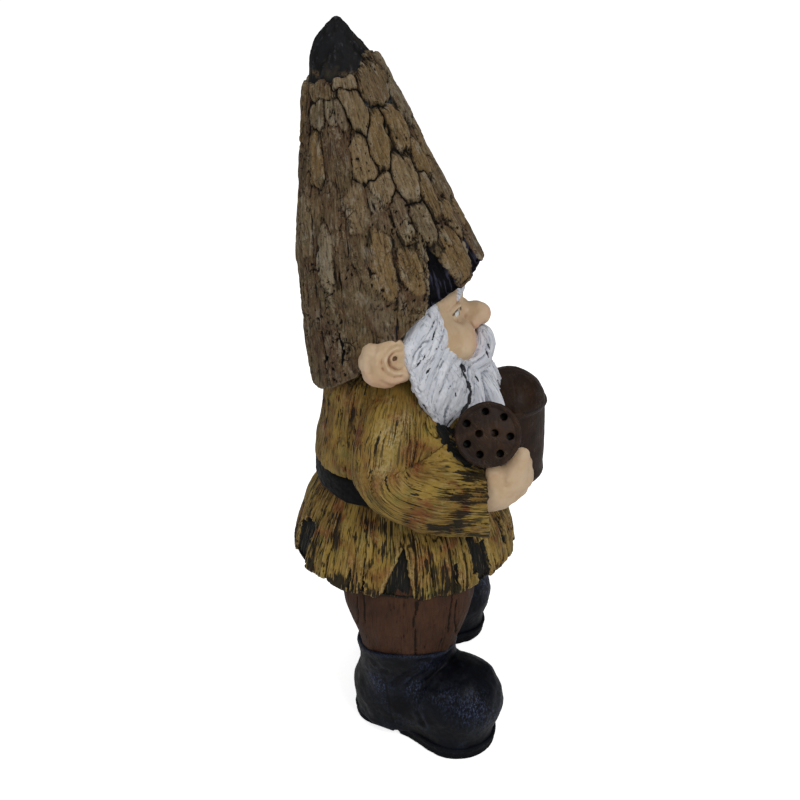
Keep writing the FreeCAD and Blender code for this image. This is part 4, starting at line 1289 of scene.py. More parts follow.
def sleeves():
    grid = Grid((-108, -42, 166), (-22, 68, 286), 1.15)

    def limb(points, radii, steps):
        return tube_distance(grid.x, grid.fore, grid.z, *resample(points, radii, steps))

    arm = limb(ARM, ARM_RADII, 4)
    # hanging lower edge of the cuff and forearm
    hang = limb([(-76, -2, 213), (-77, 16, 200.5), (-75, 38, 193.5), (-72, 60, 189)],
                [14, 14.0, 13.0, 12.0], 3)
    arm = smin(arm, hang, 9.0)
    # cloth drawn across from the chest to the top of the cuff
    drawn = limb([(-50, 8, 244), (-56, 18, 237), (-62, 30, 228), (-66, 42, 216), (-69, 60, 208)],
                 [17, 17.5, 17.0, 15.5, 15.0], 3)
    arm = smin(arm, drawn, 8.0)
    solid = smin(arm, loft_distance(grid, body_section) + 0.5, 9.0)
    solid = smax(solid, arm - 7.0, 2.0)
    # open cuff: a plane across the end of the forearm, hollow inside
    solid = smax(solid, (grid.fore - 59.0) + 0.10 * (grid.z - CUFF_Z), 1.2)
    bore = limb([(-72, 50, CUFF_Z), (-71, 90, CUFF_Z)], 15.5, 1)
    grid.field[:] = smax(solid, -smax(bore, 53 - grid.fore, 2.0), 1.5)
    verts, quads = surface(grid)
    x, fore, z = verts.T
    grain, length = arm_grain(verts)
    long_grooves = grooves(grain, 4.6, 40, 0.050, 141, 0.46)
    short_grooves = grooves(grain, 2.6, 18, 0.080, 151, 0.52)
    fibre = ripple(grain, (1.9, 1.9, 17), 153)
    # folds across the inside of the elbow, and under it
    inner = smooth(-6, 14, fore) * smooth(40, 18, fore) * smooth(198, 222, z)
    inner_fold = np.sin((z * 0.72 + fore * 0.55) / 2.9 + 2 * noise(verts, 16, 161, 2)) * inner
    under = smooth(62, 74, length) * smooth(112, 92, length) * smooth(226, 205, z)
    under_fold = np.sin((fore * 0.9 - z * 0.5) / 3.4 + 2 * noise(verts, 14, 163, 2)) * under
    depth = (-long_grooves - short_grooves * 0.5 + fibre * 1.1 + inner_fold * 0.7
             + under_fold * 0.5 + ripple(verts, 17, 165) * 2.4)
    ragged = verts.copy()
    ragged[:, 1] += ripple(verts, (6, 30, 4), 167, 1) * smooth(52, 58, fore) * 1.6
    # painted shade inside the open cuff
    inside = smooth(18, 15, np.hypot(x - CUFF_X, z - CUFF_Z)) * smooth(50, 54, fore)
    strokes = (smooth(0.50, 0.60, noise(grain, (7, 7, 16), 171, 2)) * smooth(30, 54, fore) * 0.8
               * smooth(0.42, 0.52, noise(grain, (2.0, 2.0, 10), 173)))
    hollow = highest(long_grooves * 0.8, short_grooves * 0.4, inside, strokes)
    extra = paint_patches(verts)
    extra["dash"] = (0.45 * smooth(20, 48, fore) + 0.45 * under
                     + 0.5 * smooth(228, 214, z) * smooth(0, -14, fore))
    for name, mirror, shift in (("right_sleeve_vis", False, 0.0),
                                ("left_sleeve_vis", True, 300.0)):
        make_cloth(name, ragged, quads, grain + np.array([0, 0, shift]), depth, hollow, extra,
                   "jacket_paint", beard_shadow(verts), mirror=mirror)


NOTCH_FOOT = 128
# black notches in the skirt: degrees and z of the apex, mm across to the two lower corners, depth
SKIRT_NOTCHES = [(90.0, 168.0, -7.0, 21.0, 4.0), (-74.0, 166.0, -16, 8, 4.2),
                 (-131.0, 166.0, -9, 10, 4.0), (-28.0, 164.0, -8, 9, 3.6),
                 (190.0, 160.0, -9, 7, 3.6), (10.0, 161.0, -7, 9, 3.6)]
# black slots, some overlapping in steps: degrees from and to, z from and to
SKIRT_SLOTS = [(47.5, 52.5, 140, 178), (40.5, 49.0, 128, 160), (150.0, 161.0, 128, 164),
               (156.0, 168.0, 128, 158), (22.0, 26.5, 146, 162), (-48.0, -41.0, 128, 176),
               (-44.0, -33.0, 128, 160), (61.5, 63.5, 138, 152), (110.5, 112.0, 128, 146),
               (118.0, 119.5, 130, 149)]


def jacket_skirt():
    ring_count, outer_rows = 560, 120
    angle = angles(ring_count)
    # planks: sectors with their own hem and set-back
    rng = np.random.default_rng(23)
    joints = np.linspace(-180, 180, 17)[:-1] + rng.uniform(-7, 7, 16)
    joints = np.radians(np.sort(np.concatenate([joints, [76.5, 57.0, 22]])))
    plank_count = len(joints)
    setback = rng.uniform(-1, 1, plank_count)

    def plank_at(where):
        return (np.searchsorted(joints, where) - 1) % plank_count

    place = around(angle, 80)
    hem = (131.5 + setback[plank_at(angle)] + ripple(place, 14, 201, 1) * 3.0
           + ripple(place, 4, 202, 1))
    hem = 0.5 * hem + 0.25 * (np.roll(hem, 1) + np.roll(hem, -1))
    rows = [ring(skirt_section, angle, z, offset) for z, offset in
            ((186.0, -9), (170.0, -8), (150.0, -8), (hem + 4, -7.5), (hem + 0.6, -6.5),
             (hem - 0.4, -4.6), (hem - 0.6, -2.2), (hem - 0.2, -0.6))]
    first_outer = len(rows)
    rows += [ring(skirt_section, angle, hem + 0.8 + (192.0 - hem - 0.8) * share)
             for share in np.linspace(0, 1, outer_rows)]
    past_outer = len(rows)
    rows.append(ring(skirt_section, angle, 192.5, -4))
    verts, quads = closed_rows(rows)
    angle = np.tile(angle, len(rows))
    row = np.repeat(np.arange(len(rows)), ring_count)
    z = verts[:-2, 2]
    radius = mean_radius(skirt_section, z)
    grain = around(angle, 76, z)

    low = smooth(196, 140, z)
    wobble = ripple(grain, (14, 14, 26), 205) * 4.0 + ripple(grain, (3, 3, 8), 206, 1) * 1.2
    wobbled = angle + np.radians(wobble / 1.35)
    plank = plank_at(wrap(wobbled))
    to_joint = np.min(np.abs(wrap(wobbled[:, None] - joints[None, :])), 1) * radius
    step = setback[plank] * 1.1 * low * smooth(0, 3.0, to_joint)
    plank_noise = noise(np.stack([plank * 3.7, z / 20, plank * 1.3], 1), 1, 207)
    crack = (smooth(1.3, 0.5, to_joint) * smooth(0.45, 0.62, plank_noise + 0.22 * low)
             * smooth(188, 172, z))
    long_grooves = grooves(grain, 4.2, 38, 0.055, 211, 0.42)
    short_grooves = grooves(grain, 2.4, 18, 0.085, 221, 0.48)
    hem_splits = grooves(grain, 3.6, 12, 0.12, 241, 0.40) * smooth(146, 136, z)
    streak = ripple(grain, (2.2, 2.2, 22), 231, 3)
    depth = (step - crack * 1.7 - long_grooves * 1.1 - short_grooves * 0.6 + streak * 1.5
             + ripple(grain, 18, 235) * 2.0 - hem_splits * 0.7)

    black = np.zeros(len(z))
    jag = ripple(grain, 2.4, 245, 1) * 1.7 + ripple(grain, (1.2, 1.2, 3.5), 246, 1) * 1.2
    cuts = []
    for at, apex, left, right, deep in SKIRT_NOTCHES:
        offset = wrap(angle - math.radians(at)) * radius
        mask = notch_mask(offset, z, (0, apex), (left, NOTCH_FOOT), (right, NOTCH_FOOT), 0.7, jag)
        cuts.append((mask * smooth(-1.2, 0.4, apex - z) * (np.abs(offset) < 34), deep))
    for start, end, bottom, top in SKIRT_SLOTS:
        offset = wrap(angle - math.radians((start + end) / 2)) * radius + jag * 0.8
        half = math.radians(end - start) * 0.5 * 80
        mask = (smooth(half + 0.6, half - 0.6, np.abs(offset))
                * smooth(top + 0.8 + jag, top - 0.8 + jag, z)
                * smooth(bottom - 0.8, bottom + 0.8, z + jag))
        cuts.append((mask, 3.8))
    for mask, deep in cuts:
        black = np.maximum(black, mask)
        depth = depth * (1 - mask) + mask * (-deep + streak * 3.0)
    depth = (depth * smooth(first_outer - 4, first_outer + 1, row)
             * np.where(row >= past_outer, 0.2, 1.0) * smooth(194, 188, z))
    verts = displace(verts, quads, with_caps(depth))

    z = verts[:-2, 2]
    crease, ridge_highlight = creases_and_ridges(verts, quads, 1.3, 1.6, 3)
    # dark carved cracks and grooves, with painted shade in creases, inside the skirt and at its
    # top under the belt
    carved = highest(crack, long_grooves * 0.8, short_grooves * 0.4, hem_splits * 0.8)
    inside = with_caps(smooth(first_outer - 1, first_outer - 3, row), 1)
    hollow = highest(with_caps(carved), crease * 0.75, inside * 0.75,
                     with_caps(smooth(184, 190, z)) * 0.5)
    dash = (0.5 * smooth(-0.2, -0.9, np.cos(angle))
            + 0.8 * smooth(150, 136, z) * smooth(0.4, 0.6, noise(grain, 20, 249)))
    black = with_caps(black)
    make("jacket_skirt_vis", verts, quads,
         {**paint_patches(verts), "groove_and_shade": clip01(hollow * (1 - black)), "ridge_highlight": ridge_highlight,
          "grain": np.vstack([grain, verts[-2:]]), "black": black, "dash": with_caps(dash)},
         "jacket_paint")


# radius, z
BELT = [(50, 189), (56, 188.6), (60.0, 189.2), (61.6, 190.8), (62.1, 193), (62.2, 196),
        (62.2, 199), (62.2, 202), (62.0, 205), (61.4, 207.4), (59.6, 208.8), (56, 209.2),
        (50, 209)]


def resample_profile(profile, steps):
    return resample([(radius, z, 0) for radius, z in profile], 1, steps)[0][:, :2]


def belt():
    angle = angles(260)
    rows = []
    for radius, z in resample_profile(BELT, 3):
        wave = ripple(around(angle, 4, z / 30), 1, 251, 1) * 1.6
        level = z + ripple(around(angle, 3), 1, 252, 1) * 2.0
        rows.append(circle(0, 0.5, radius + wave, angle, level))
    verts, quads = closed_rows(rows)
    verts = displace(verts, quads, ripple(verts, (4, 4, 3), 255, 3) * 0.9)
    crease, ridge_highlight = creases_and_ridges(verts, quads, 3, 3)
    make("belt_vis", verts, quads, {"groove_and_shade": crease, "ridge_highlight": ridge_highlight}, "belt_paint")


# long creases down the legs: fore, z from and to, width
LEG_CREASES = [(11.0, 76, 136, 0.6), (34.0, 96, 130, 0.45), (40.0, 88, 124, 0.45),
               (-26.0, 104, 132, 0.4), (-31, 98, 126, 0.3)]


def trousers():
    grid = Grid((-94, -52, 66), (94, 64, 178), 1.35)
    levels = grid.z.astype(float)
    centre, depth, width = (f(levels) for f in section_curves(LEG))
    middle = curve(*zip(*LEG_MIDDLE))(levels)
    legs = []
    for side in (-1, 1):
        ratio = np.sqrt(((grid.x - side * middle) / width) ** 2
                        + ((grid.fore - centre) / depth) ** 2)
        legs.append((ratio - 1) * np.minimum(width, depth) * LOFT_SCALE)
    solid = smin(*legs, 3.0)
    solid = smax(solid, grid.z - 172, 4)
    grid.field[:] = smax(solid, 68 - grid.z, 3)
    verts, quads = surface(grid)
    x, fore, z = verts.T
    side = np.sign(x)
    inner_x = x - side * 45
    radius = np.maximum(np.hypot(inner_x, fore - 6), 1e-6)
    grain = np.stack([inner_x / radius * 40 + side * 100, (fore - 6) / radius * 40, z], 1)
    long_grooves = grooves(grain, 6.0, 60, 0.035, 301, 0.52)
    short_grooves = grooves(grain, 3.2, 22, 0.075, 311, 0.56) * smooth(104, 122, z)
    creases = np.zeros(len(verts))
    for at, low, high, width in LEG_CREASES:
        wander = ripple(np.stack([z / 22, z * 0 + at, z * 0], 1), 1, 331) * 6
        offset = np.abs(fore - at - wander)
        mask = (smooth(width * 1.7, width * 0.5, offset) * smooth(low - 3, low + 3, z)
                * smooth(high + 3, high - 3, z) * smooth(20, 30, np.abs(x) - 30))
        creases = np.maximum(creases, mask)
    crack = (thin(ripple(grain, (9, 9, 120), 325, 1), 0.02)
             * smooth(0.4, 0.55, noise(grain, 22, 327)))
    relief = (-long_grooves - short_grooves * 0.5 + ripple(grain, (12, 12, 70), 321) * 3.0
              - crack - creases * 1.3 + ripple(verts, 14, 329) * 1.6)
    # dark carved grooves and cracks, with painted shade in the creases and between the legs
    hollow = highest(long_grooves * 0.8, short_grooves * 0.6, crack * 0.7, creases,
                     smooth(6, 0, np.abs(x)) * 0.7)
    make_cloth("trousers_vis", verts, quads, grain, relief, hollow, {}, "trouser_paint",
               gain=1.6)


# ------------------------------------------------------------------ head, eyes, ears
EYE = (19.5, 33.0, 318.3)           # the left eye's centre
EYE_RADII = (8.4, 6.8, 6.0)


def head_grid():
    g = Grid((-60, -56, 243), (60, 78, 361), 0.95)
    g.ell((0, -4, 306), (48.5, 44.5, 50.5))
    g.ell((0, 7, 310), (44, 36.0, 34), 8)
    # cheeks and the ridges over the eyes
    for s in (-1, 1):
        g.ell((s * 22, 34.5, 299.5), (18.0, 17.5, 17.5), 5)
        g.ell((s * 33, 23, 304), (14, 16, 18), 6)
        g.tube([(s * 31, 24, 330), (s * 20, 33.0, 331.5), (s * 7, 37.5, 331)],
               [5.0, 5.5, 5.0], 6)
    g.ell((0, 35, 323), (12, 7, 12), 6)
    for s in (-1, 1):
        # eye socket and ball
        g.ell((s * 21.5, 40.6, 318.9), (9.2, 7.2, 5.8), 2.2, cut=True)
        g.ell((s * EYE[0], EYE[1], EYE[2]),
              (EYE_RADII[0] + 0.2, EYE_RADII[1] - 0.3, EYE_RADII[2] - 0.2), 0.6)
        # upper and lower lid
        g.tube([(s * 29.0, 30.6, 318.4), (s * 25.6, 35.4, 322.8), (s * 19.5, 39.4, 324.4),
                (s * 13.0, 39.9, 322.0), (s * 10.4, 38.8, 318.2)],
               [1.0, 1.4, 1.7, 1.5, 1.1], 1.2, steps=3)
        g.tube([(s * 28.6, 30.8, 316.8), (s * 24.8, 35.6, 313.8), (s * 19, 38.6, 312.8),
                (s * 13, 39.2, 314.2)], [1.0, 1.4, 1.5, 1.2], 1.6, steps=3)
    # big round nose held level, with its wings, nostrils and side creases
    g.tube([(0, 34, 312.5), (0, 46, 312.0), (0, 53, 311.6)], [7.4, 7.4, 7.6], 4)
    g.ell((0, 53.2, 311.0), (10.0, 9.3, 8.2), 2.5)
    for s in (-1, 1):
        g.ell((s * 8.0, 49.5, 307.8), (5.4, 6.2, 5.2), 2.4)
        g.ell((s * 4.2, 54.0, 303.2), (2.4, 3.2, 2.4), 1.6, cut=True)
        g.tube([(s * 13.0, 45.5, 315), (s * 13.6, 46.8, 310), (s * 13.0, 49.0, 303)],
               [0.7, 1.2, 0.8], 2.4, steps=3, cut=True)
    # neck
    g.tube([(0, -4, 292), (0, -4, 246)], [28, 27], 8)
    g.keep(247 - g.z, 1.0)
    return g


def head():
    verts, quads = surface(head_grid())
    verts = displace(verts, quads, ripple(verts, 9.0, 401) * 1.6 + ripple(verts, 3.2, 403) * 0.5)
    bend = curvature(verts, quads, 3)
    right = onto_right(verts)
    blush = np.maximum(spot(right, (-16, 53, 297), (12, 8, 9)),
                       0.35 * spot(right, (0, 61, 310), (8, 5, 7)))
    # painted highlight on the cheeks
    cheek_highlight = spot(right, (-32, 42, 300), (9, 7, 8))
    # painted shade in the nostrils
    nostril = spot(right, (-4.2, 54.5, 303.2), (2.4, 3.2, 2.4))
    # painted lash line along the upper lid
    lid = [(-28.6, 31.6, 318.1), (-25.2, 36.8, 321.6), (-19.4, 41.0, 323.0),
           (-13.2, 41.6, 320.8), (-11.0, 40.6, 318.0)]
    lash = smooth(1.4, 0.7, tube_distance(*right.T, *resample(lid, 0, 4))) * 0.9
    make("head_vis", verts, quads,
         {"groove_and_shade": clip01(np.maximum(clip01(-bend * 2.0), nostril * 1.2)),
          "ridge_highlight": clip01(bend * 2.0 + 0.7 * cheek_highlight), "blush": blush, "black": lash}, "skin_paint")


def eyes():
    ring_count, row_count = 64, 44
    angle = angles(ring_count)
    rows = [np.stack([np.cos(t) * np.cos(angle), np.full(ring_count, math.sin(t)),
                      np.cos(t) * np.sin(angle)], 1) for t in np.linspace(-1.52, 1.52, row_count)]
    ball, quads = closed_rows(rows)
    radii = np.array(EYE_RADII)
    from_middle = np.hypot(ball[:, 0] * radii[0], ball[:, 2] * radii[2] + 0.2)
    front = ball[:, 1] > 0
    iris = smooth(3.0, 2.6, from_middle) * front
    pupil = smooth(1.6, 1.2, from_middle) * front
    lash = smooth(2.8, 3.4, ball[:, 2] * radii[2]) * front
    for side, name in ((-1, "right_eye_vis"), (1, "left_eye_vis")):
        centre = np.array([side * EYE[0], EYE[1], EYE[2]])
        verts = centre + ball * radii * (1 + 0.03 * iris)[:, None]
        make(name, verts, quads, {"iris": iris, "pupil": pupil, "lash": lash}, "eye_paint")


# normals of the chiselled planes and their distance as a share of the ear's reach
EAR_PLANES = [(-0.30, -0.88, 0.36, 0.90), (-0.34, -0.90, -0.28, 0.90),
              (-0.40, -0.30, 0.86, 0.92), (-0.42, -0.45, -0.79, 0.92),
              (-0.80, -0.60, 0.06, 0.90), (-0.55, 0.45, -0.70, 0.93),
              (-0.88, 0.10, -0.46, 0.92)]
# carved lines on the ear's outer face, as (fore, z)
EAR_RIM_LINE = [(3.6, 315.0), (-2.0, 316.2), (-8.0, 313.0), (-11.8, 306.5), (-10.6, 299.0),
                (-5.4, 294.0), (0.6, 292.6)]
EAR_INNER_LINE = [(2.4, 311.0), (-3.0, 311.4), (-6.8, 307.0), (-6.0, 302.0), (-2.0, 298.6),
                  (2.0, 298.0)]
EAR_BACK_LINE = [(-16.0, 312.0), (-20.5, 304.0), (-19.5, 296.0)]
EAR_LOBE_LINE = [(-12.0, 290.5), (-6.0, 286.0), (0.0, 285.5)]


def ear_grid():
    g = Grid((-80, -36, 274), (-40, 16, 326), 0.72)
    g.ell((-59, -11, 299), (10.5, 15.5, 17.0), yaw=-6)
    g.ell((-58, -19, 303), (9.5, 8.5, 12.0), 4)
    g.ell((-58, -16, 292), (9.0, 9.5, 9.5), 4)
    g.ell((-58, -3, 291), (9.5, 10.0, 8.0), 4)
    g.ell((-60, -6, 309), (8.5, 10.0, 9.0), 4)
    # bowl at the front, two carved spiral lines and a small nick
    g.ell((-72.5, -2.5, 305.5), (4.0, 5.2, 6.2), 2.6, cut=True)
    g.tube([(-66.5, 2.3, 316.5), (-70.2, -6.4, 314.3), (-71.6, -11.4, 307.0),
            (-71.6, -10.2, 299.3), (-70.0, -4.9, 294.4), (-66.5, 1.6, 293.2)],
           [0.9, 1.3, 1.4, 1.4, 1.3, 0.8], 1.6, steps=4, cut=True)
    g.tube([(-67.0, 1.0, 312.3), (-69.0, -4.5, 311.4), (-69.0, -7.0, 305.5),
            (-68.6, -4.2, 300.2), (-66.6, 1.0, 298.6)],
           [0.8, 1.1, 1.2, 1.1, 0.8], 1.2, steps=4, cut=True)
    g.ell((-68.6, -3.0, 306.0), (2.2, 0.9, 1.0), 0.8, cut=True)
    for nx, nf, nz, share in EAR_PLANES:
        size = math.sqrt(nx * nx + nf * nf + nz * nz)
        nx, nf, nz = nx / size, nf / size, nz / size
        reach = math.sqrt((nx * 11.5) ** 2 + (nf * 17) ** 2 + (nz * 18) ** 2)
        plane = (g.x + 59) * nx + (g.fore + 11) * nf + (g.z - 299) * nz - reach * share
        g.keep(plane.astype(np.float32), 3.0)
    return g


def ears():
    verts, quads = surface(ear_grid())
    facing = normals(verts, quads)
    rough = ripple(verts, 6.5, 411) * 1.8 + ripple(verts, 2.8, 413) * 0.6
    verts = verts + facing * rough[:, None]
    outward = smooth(0.15, 0.5, -facing[:, 0])
    profile = verts[:, 1:]

    def groove(table, width):
        away = side_distance(*profile.T, table)
        return np.exp(-(away / width) ** 2) * outward, away

    rim_groove, from_rim = groove(EAR_RIM_LINE, 1.5)
    inner_groove, _ = groove(EAR_INNER_LINE, 1.1)
    back_groove, _ = groove(EAR_BACK_LINE, 2.0)
    lobe_groove, _ = groove(EAR_LOBE_LINE, 1.6)
    bowl = spot(profile, (-1.8, 305.2), (4.2, 5.0)) * outward
    nick = spot(profile, (-3.0, 306.0), (0.95, 1.0)) * outward
    rim = np.exp(-((from_rim - 3.4) / 1.8) ** 2) * outward
    carved = (rim_groove * 1.1 + inner_groove * 1.2 + bowl * 2.2 + nick * 0.8
              + back_groove * 0.8 + lobe_groove * 0.7 - rim * 0.4)
    verts = verts - facing * carved[:, None]
    crease, ridge_highlight = creases_and_ridges(verts, quads, 2.2, 2.0, 3)
    # dark carved grooves, with painted shade in creases, the bowl and the nick
    hollow = highest(crease, rim_groove * 0.26 + inner_groove * 0.45, bowl * 0.32, nick)
    blush = 0.2 * np.exp(-((verts[:, 2] - 286) / 8) ** 2)
    make_pair("ear_vis", verts, quads,
              {"groove_and_shade": hollow, "ridge_highlight": ridge_highlight, "blush": blush, "black": 0}, "skin_paint")


# ------------------------------------------------------------------ hair in tapered strands
# right-hand strands of the beard, from the cheek down to the middle: points, radii
LOCKS = [
    ([(-43.0, 20.8, 331.2), (-50.0, 14.2, 322.9), (-56.0, 8.4, 314.9), (-60.0, 4.5, 308.3),
      (-60.0, 6.5, 298.3)], [4, 6, 5.5, 4.5, 2.5]),
    ([(-44.0, 22.1, 327.5), (-49.5, 18.2, 317.8), (-54.5, 12.3, 308.7), (-58.5, 7.8, 301.2),
      (-58.0, 7.2, 290.3)], [3, 4.5, 4.5, 4.5, 2.0]),
    ([(-43.0, 24.1, 322.8), (-48.0, 20.2, 312.9), (-54.5, 13.7, 303.7), (-57.5, 9.8, 295.1),
      (-56.5, 11.8, 281.6)], [4, 6, 6.5, 5.5, 2.5]),
    ([(-41.0, 26.9, 314.2), (-47.5, 22.9, 304.2), (-52.5, 16.4, 293.5), (-55.0, 13.2, 281.6),
      (-54.0, 17.2, 268.7)], [4, 6, 6.5, 5.5, 2.5]),
    ([(-39.0, 29.7, 306.9), (-46.5, 25.7, 298.7), (-51.0, 19.8, 287.7), (-53.0, 15.9, 276.3),
      (-52.0, 20.0, 264.0)], [3, 4.5, 4.5, 4.0, 2.0]),
    ([(-37.0, 31.9, 301.7), (-45.5, 27.8, 293.2), (-50.0, 21.8, 281.5), (-52.0, 18.6, 269.2),
      (-50.0, 23.5, 255.5)], [4, 6, 6.5, 5.5, 2.5]),
    ([(-32.0, 35.6, 292.3), (-41.5, 32.7, 284.1), (-46.5, 27.4, 273.2), (-48.5, 23.5, 260.8),
      (-49.0, 27.7, 246.7)], [4, 6, 7, 6, 2.5]),
    ([(-31.0, 38.4, 288.1), (-40.0, 36.8, 280.4), (-44.0, 32.2, 268.3), (-46.5, 27.6, 256.8),
      (-49.0, 29.0, 245.2)], [3, 4.5, 4.5, 4, 2]),
    ([(-28.0, 40.6, 283.8), (-38.0, 39.7, 276.5), (-42.0, 35.2, 265.0), (-45.0, 30.0, 255.5),
      (-48.5, 28.6, 246.4)], [4.5, 6, 6.5, 5.0, 2.0]),
    ([(-30.0, 42.6, 280.3), (-36.0, 44.6, 271.1), (-38.0, 41.5, 261.6), (-42.0, 35.5, 254.5),
      (-46.5, 30.4, 247.0)], [3.5, 5, 5.0, 3.8, 1.8]),
    ([(-24.8, 42.8, 276.9), (-32.0, 43.9, 271.1), (-35.0, 44.0, 262.1), (-38.6, 41.4, 254.0)],
     [4, 5, 5, 3]),
    ([(-20.4, 49.2, 274.5), (-25.2, 51.1, 266.8), (-28.2, 52.6, 257.6), (-30.8, 53.5, 245.9)],
     [4.5, 6, 6, 4]),
    ([(-12.0, 55.2, 272.3), (-14.8, 58.0, 262.0), (-16.8, 60.3, 250.7), (-18.0, 62.8, 235.9)],
     [5, 6.5, 6.5, 5]),
    ([(-5.0, 60.4, 270.6), (-5.8, 63.6, 259.2), (-6.8, 65.6, 247.3), (-8.0, 68.2, 230.7)],
     [5, 6.5, 6.5, 5]),
    ([(-14.0, 57.0, 270.0), (-18.0, 63.0, 259.0), (-20.5, 67.0, 248.0), (-22.5, 68.5, 236.0)],
     [4.5, 6, 6, 4]),
    ([(0.0, 62.4, 269.4), (0.0, 66.3, 256.5), (0.0, 68.1, 245.5), (0.0, 70.1, 226.6)],
     [5, 6.5, 6.5, 4]),
]
# strands along the edge of the cheek
CHEEK_LOCKS = [
    ([(-44.0, 20.1, 333.7), (-44.0, 23.4, 322.5), (-41.5, 28.9, 310.2), (-38.0, 34.5, 299.3),
      (-33.5, 40.9, 290.7), (-28.0, 47.3, 285.3)], [2.0, 2.8, 3.0, 3.0, 2.8, 2]),
    ([(-46.0, 19.4, 333.8), (-47.0, 21.4, 323.8), (-45.5, 26.2, 311.9), (-42.5, 31.0, 300.5),
      (-38.0, 37.3, 291.3)], [2.0, 2.8, 3.0, 3.0, 2.0]),
]
MOUSTACHE_LOCKS = [
    ([(-0.6, 56.0, 300.2), (-2.6, 59.6, 295.8), (-5.0, 61.2, 289.6), (-9.6, 58.8, 284.2),
      (-17.0, 52.6, 281.6), (-25.8, 44.2, 282.0), (-34.4, 37.5, 286.4)],
     [3.0, 4.6, 5.0, 5.2, 4.8, 3.8, 2]),
    ([(-2.0, 55.4, 298.6), (-5.8, 57.2, 292.6), (-10.4, 56.9, 287.6), (-16.8, 52.7, 285.0),
      (-24.6, 45.6, 285.6), (-32.8, 39.0, 289.4)], [2.6, 3.6, 4.0, 3.4, 2.6, 1.4]),
    ([(-3.2, 60.8, 285.2), (-8.8, 59.4, 279.6), (-15.8, 54.2, 277.5), (-23.4, 47.4, 278.0)],
     [3.5, 4, 4, 2]),
]
# black flecks in the beard and moustache: from, to, half-width
FLECKS = [
    ((-57, 2.6, 320.3), (-55, 5.8, 323.6), 1.1), ((-55, 21.6, 314.5), (-52, 23.3, 318.9), 1.1),
    ((-62, 15.2, 303.5), (-61, 16.8, 306.6), 0.9), ((-63, 16.8, 294.0), (-61, 20.1, 297.4), 1.2),
    ((-60, 6.5, 307.5), (-60, 9.0, 311.1), 0.6), ((-63, 11.0, 299.0), (-62, 13.6, 302.8), 0.6),
    ((-33, 41.3, 286.5), (-30, 44.3, 281.0), 2.3), ((-32, 42.5, 281.9), (-34, 45.2, 276.2), 2.0),
    ((-34.5, 45.2, 276.4), (-35, 48.1, 267.7), 2.4),
    ((-35, 48.1, 267.7), (-38, 46.8, 260.8), 2.5), ((-38, 46.8, 260.8), (-44, 40.6, 253.2), 2.0),
    ((-58, 27.6, 275.8), (-57, 30.2, 281.8), 0.8), ((-54, 32.3, 277.5), (-52, 34.3, 281.7), 0.8),
    ((-59, 25.7, 269.7), (-58, 26.5, 261.0), 0.7), ((-49, 37.2, 274.4), (-49, 38.0, 269.9), 0.7),
    ((-14, 58.9, 290.2), (-14, 61.2, 283.5), 0.9), ((-9, 60.5, 291.8), (-9, 62.8, 285.8), 0.8),
    ((-25, 51.1, 276.5), (-25, 54.0, 271.2), 1.1), ((-18, 57.2, 271.0), (-22, 54.9, 270.5), 0.6),
    ((-50, 31.7, 248.0), (-48, 35.7, 253.7), 1.1), ((-60, 13.8, 271.6), (-58, 21.2, 258.8), 1.0),
    ((-6, 68.6, 263.1), (-6, 72.5, 252.2), 0.8), ((-12, 63.9, 265.9), (-14, 64.9, 252.9), 0.5),
    ((-62, 18.3, 276.3), (-62, 19.5, 289.3), 0.5), ((-58, 21.3, 307.4), (-50, 26.1, 308.1), 0.5),
    ((-55, 30.5, 268.4), (-54, 31.3, 262.0), 0.6),
]


def both_sides(table):
    """Smoothed strands with their mirror images; one on the middle line has none."""
    strands = []
    for points, radii in table:
        points, radii = resample(points, radii, 3)
        strands.append((points, radii))
        if np.abs(points[:, 0]).max() >= 1:
            strands.append((points * np.array([-1, 1, 1]), radii))
    return strands


def nearest_strand(verts, strands):
    """Distance to the nearest strand and the next, length along it, its number, the offset."""
    nearest, second = np.full(len(verts), 99.0), np.full(len(verts), 99.0)
    length = np.zeros(len(verts))
    owner = np.zeros(len(verts), int)
    offset = np.zeros((len(verts), 3))
    for number, (points, radii) in enumerate(strands):
        low, high = points.min(0) - radii.max() - 5, points.max(0) + radii.max() + 5
        near = np.where(((verts > low) & (verts < high)).all(1))[0]
        place = verts[near]
        best = np.full(len(near), 99.0)
        best_length = np.zeros(len(near))
        best_offset = np.zeros((len(near), 3))
        start = 0.0
        for i in range(len(points) - 1):
            run = points[i + 1] - points[i]
            size = np.linalg.norm(run)
            t = clip01((place - points[i]) @ run / size ** 2)
            away = place - points[i] - t[:, None] * run
            distance = np.linalg.norm(away, axis=1) - (radii[i] + t * (radii[i + 1] - radii[i]))
            closer = distance < best
            best[closer] = distance[closer]
            best_length[closer] = start + t[closer] * size
            best_offset[closer] = away[closer]
            start += size
        before = nearest[near]
        new = best < before
        second[near] = np.where(new, before, np.minimum(second[near], best))
        length[near] = np.where(new, best_length, length[near])
        owner[near] = np.where(new, number, owner[near])
        offset[near] = np.where(new[:, None], best_offset, offset[near])
        nearest[near] = np.where(new, best, before)
    return nearest, second, length, owner, offset


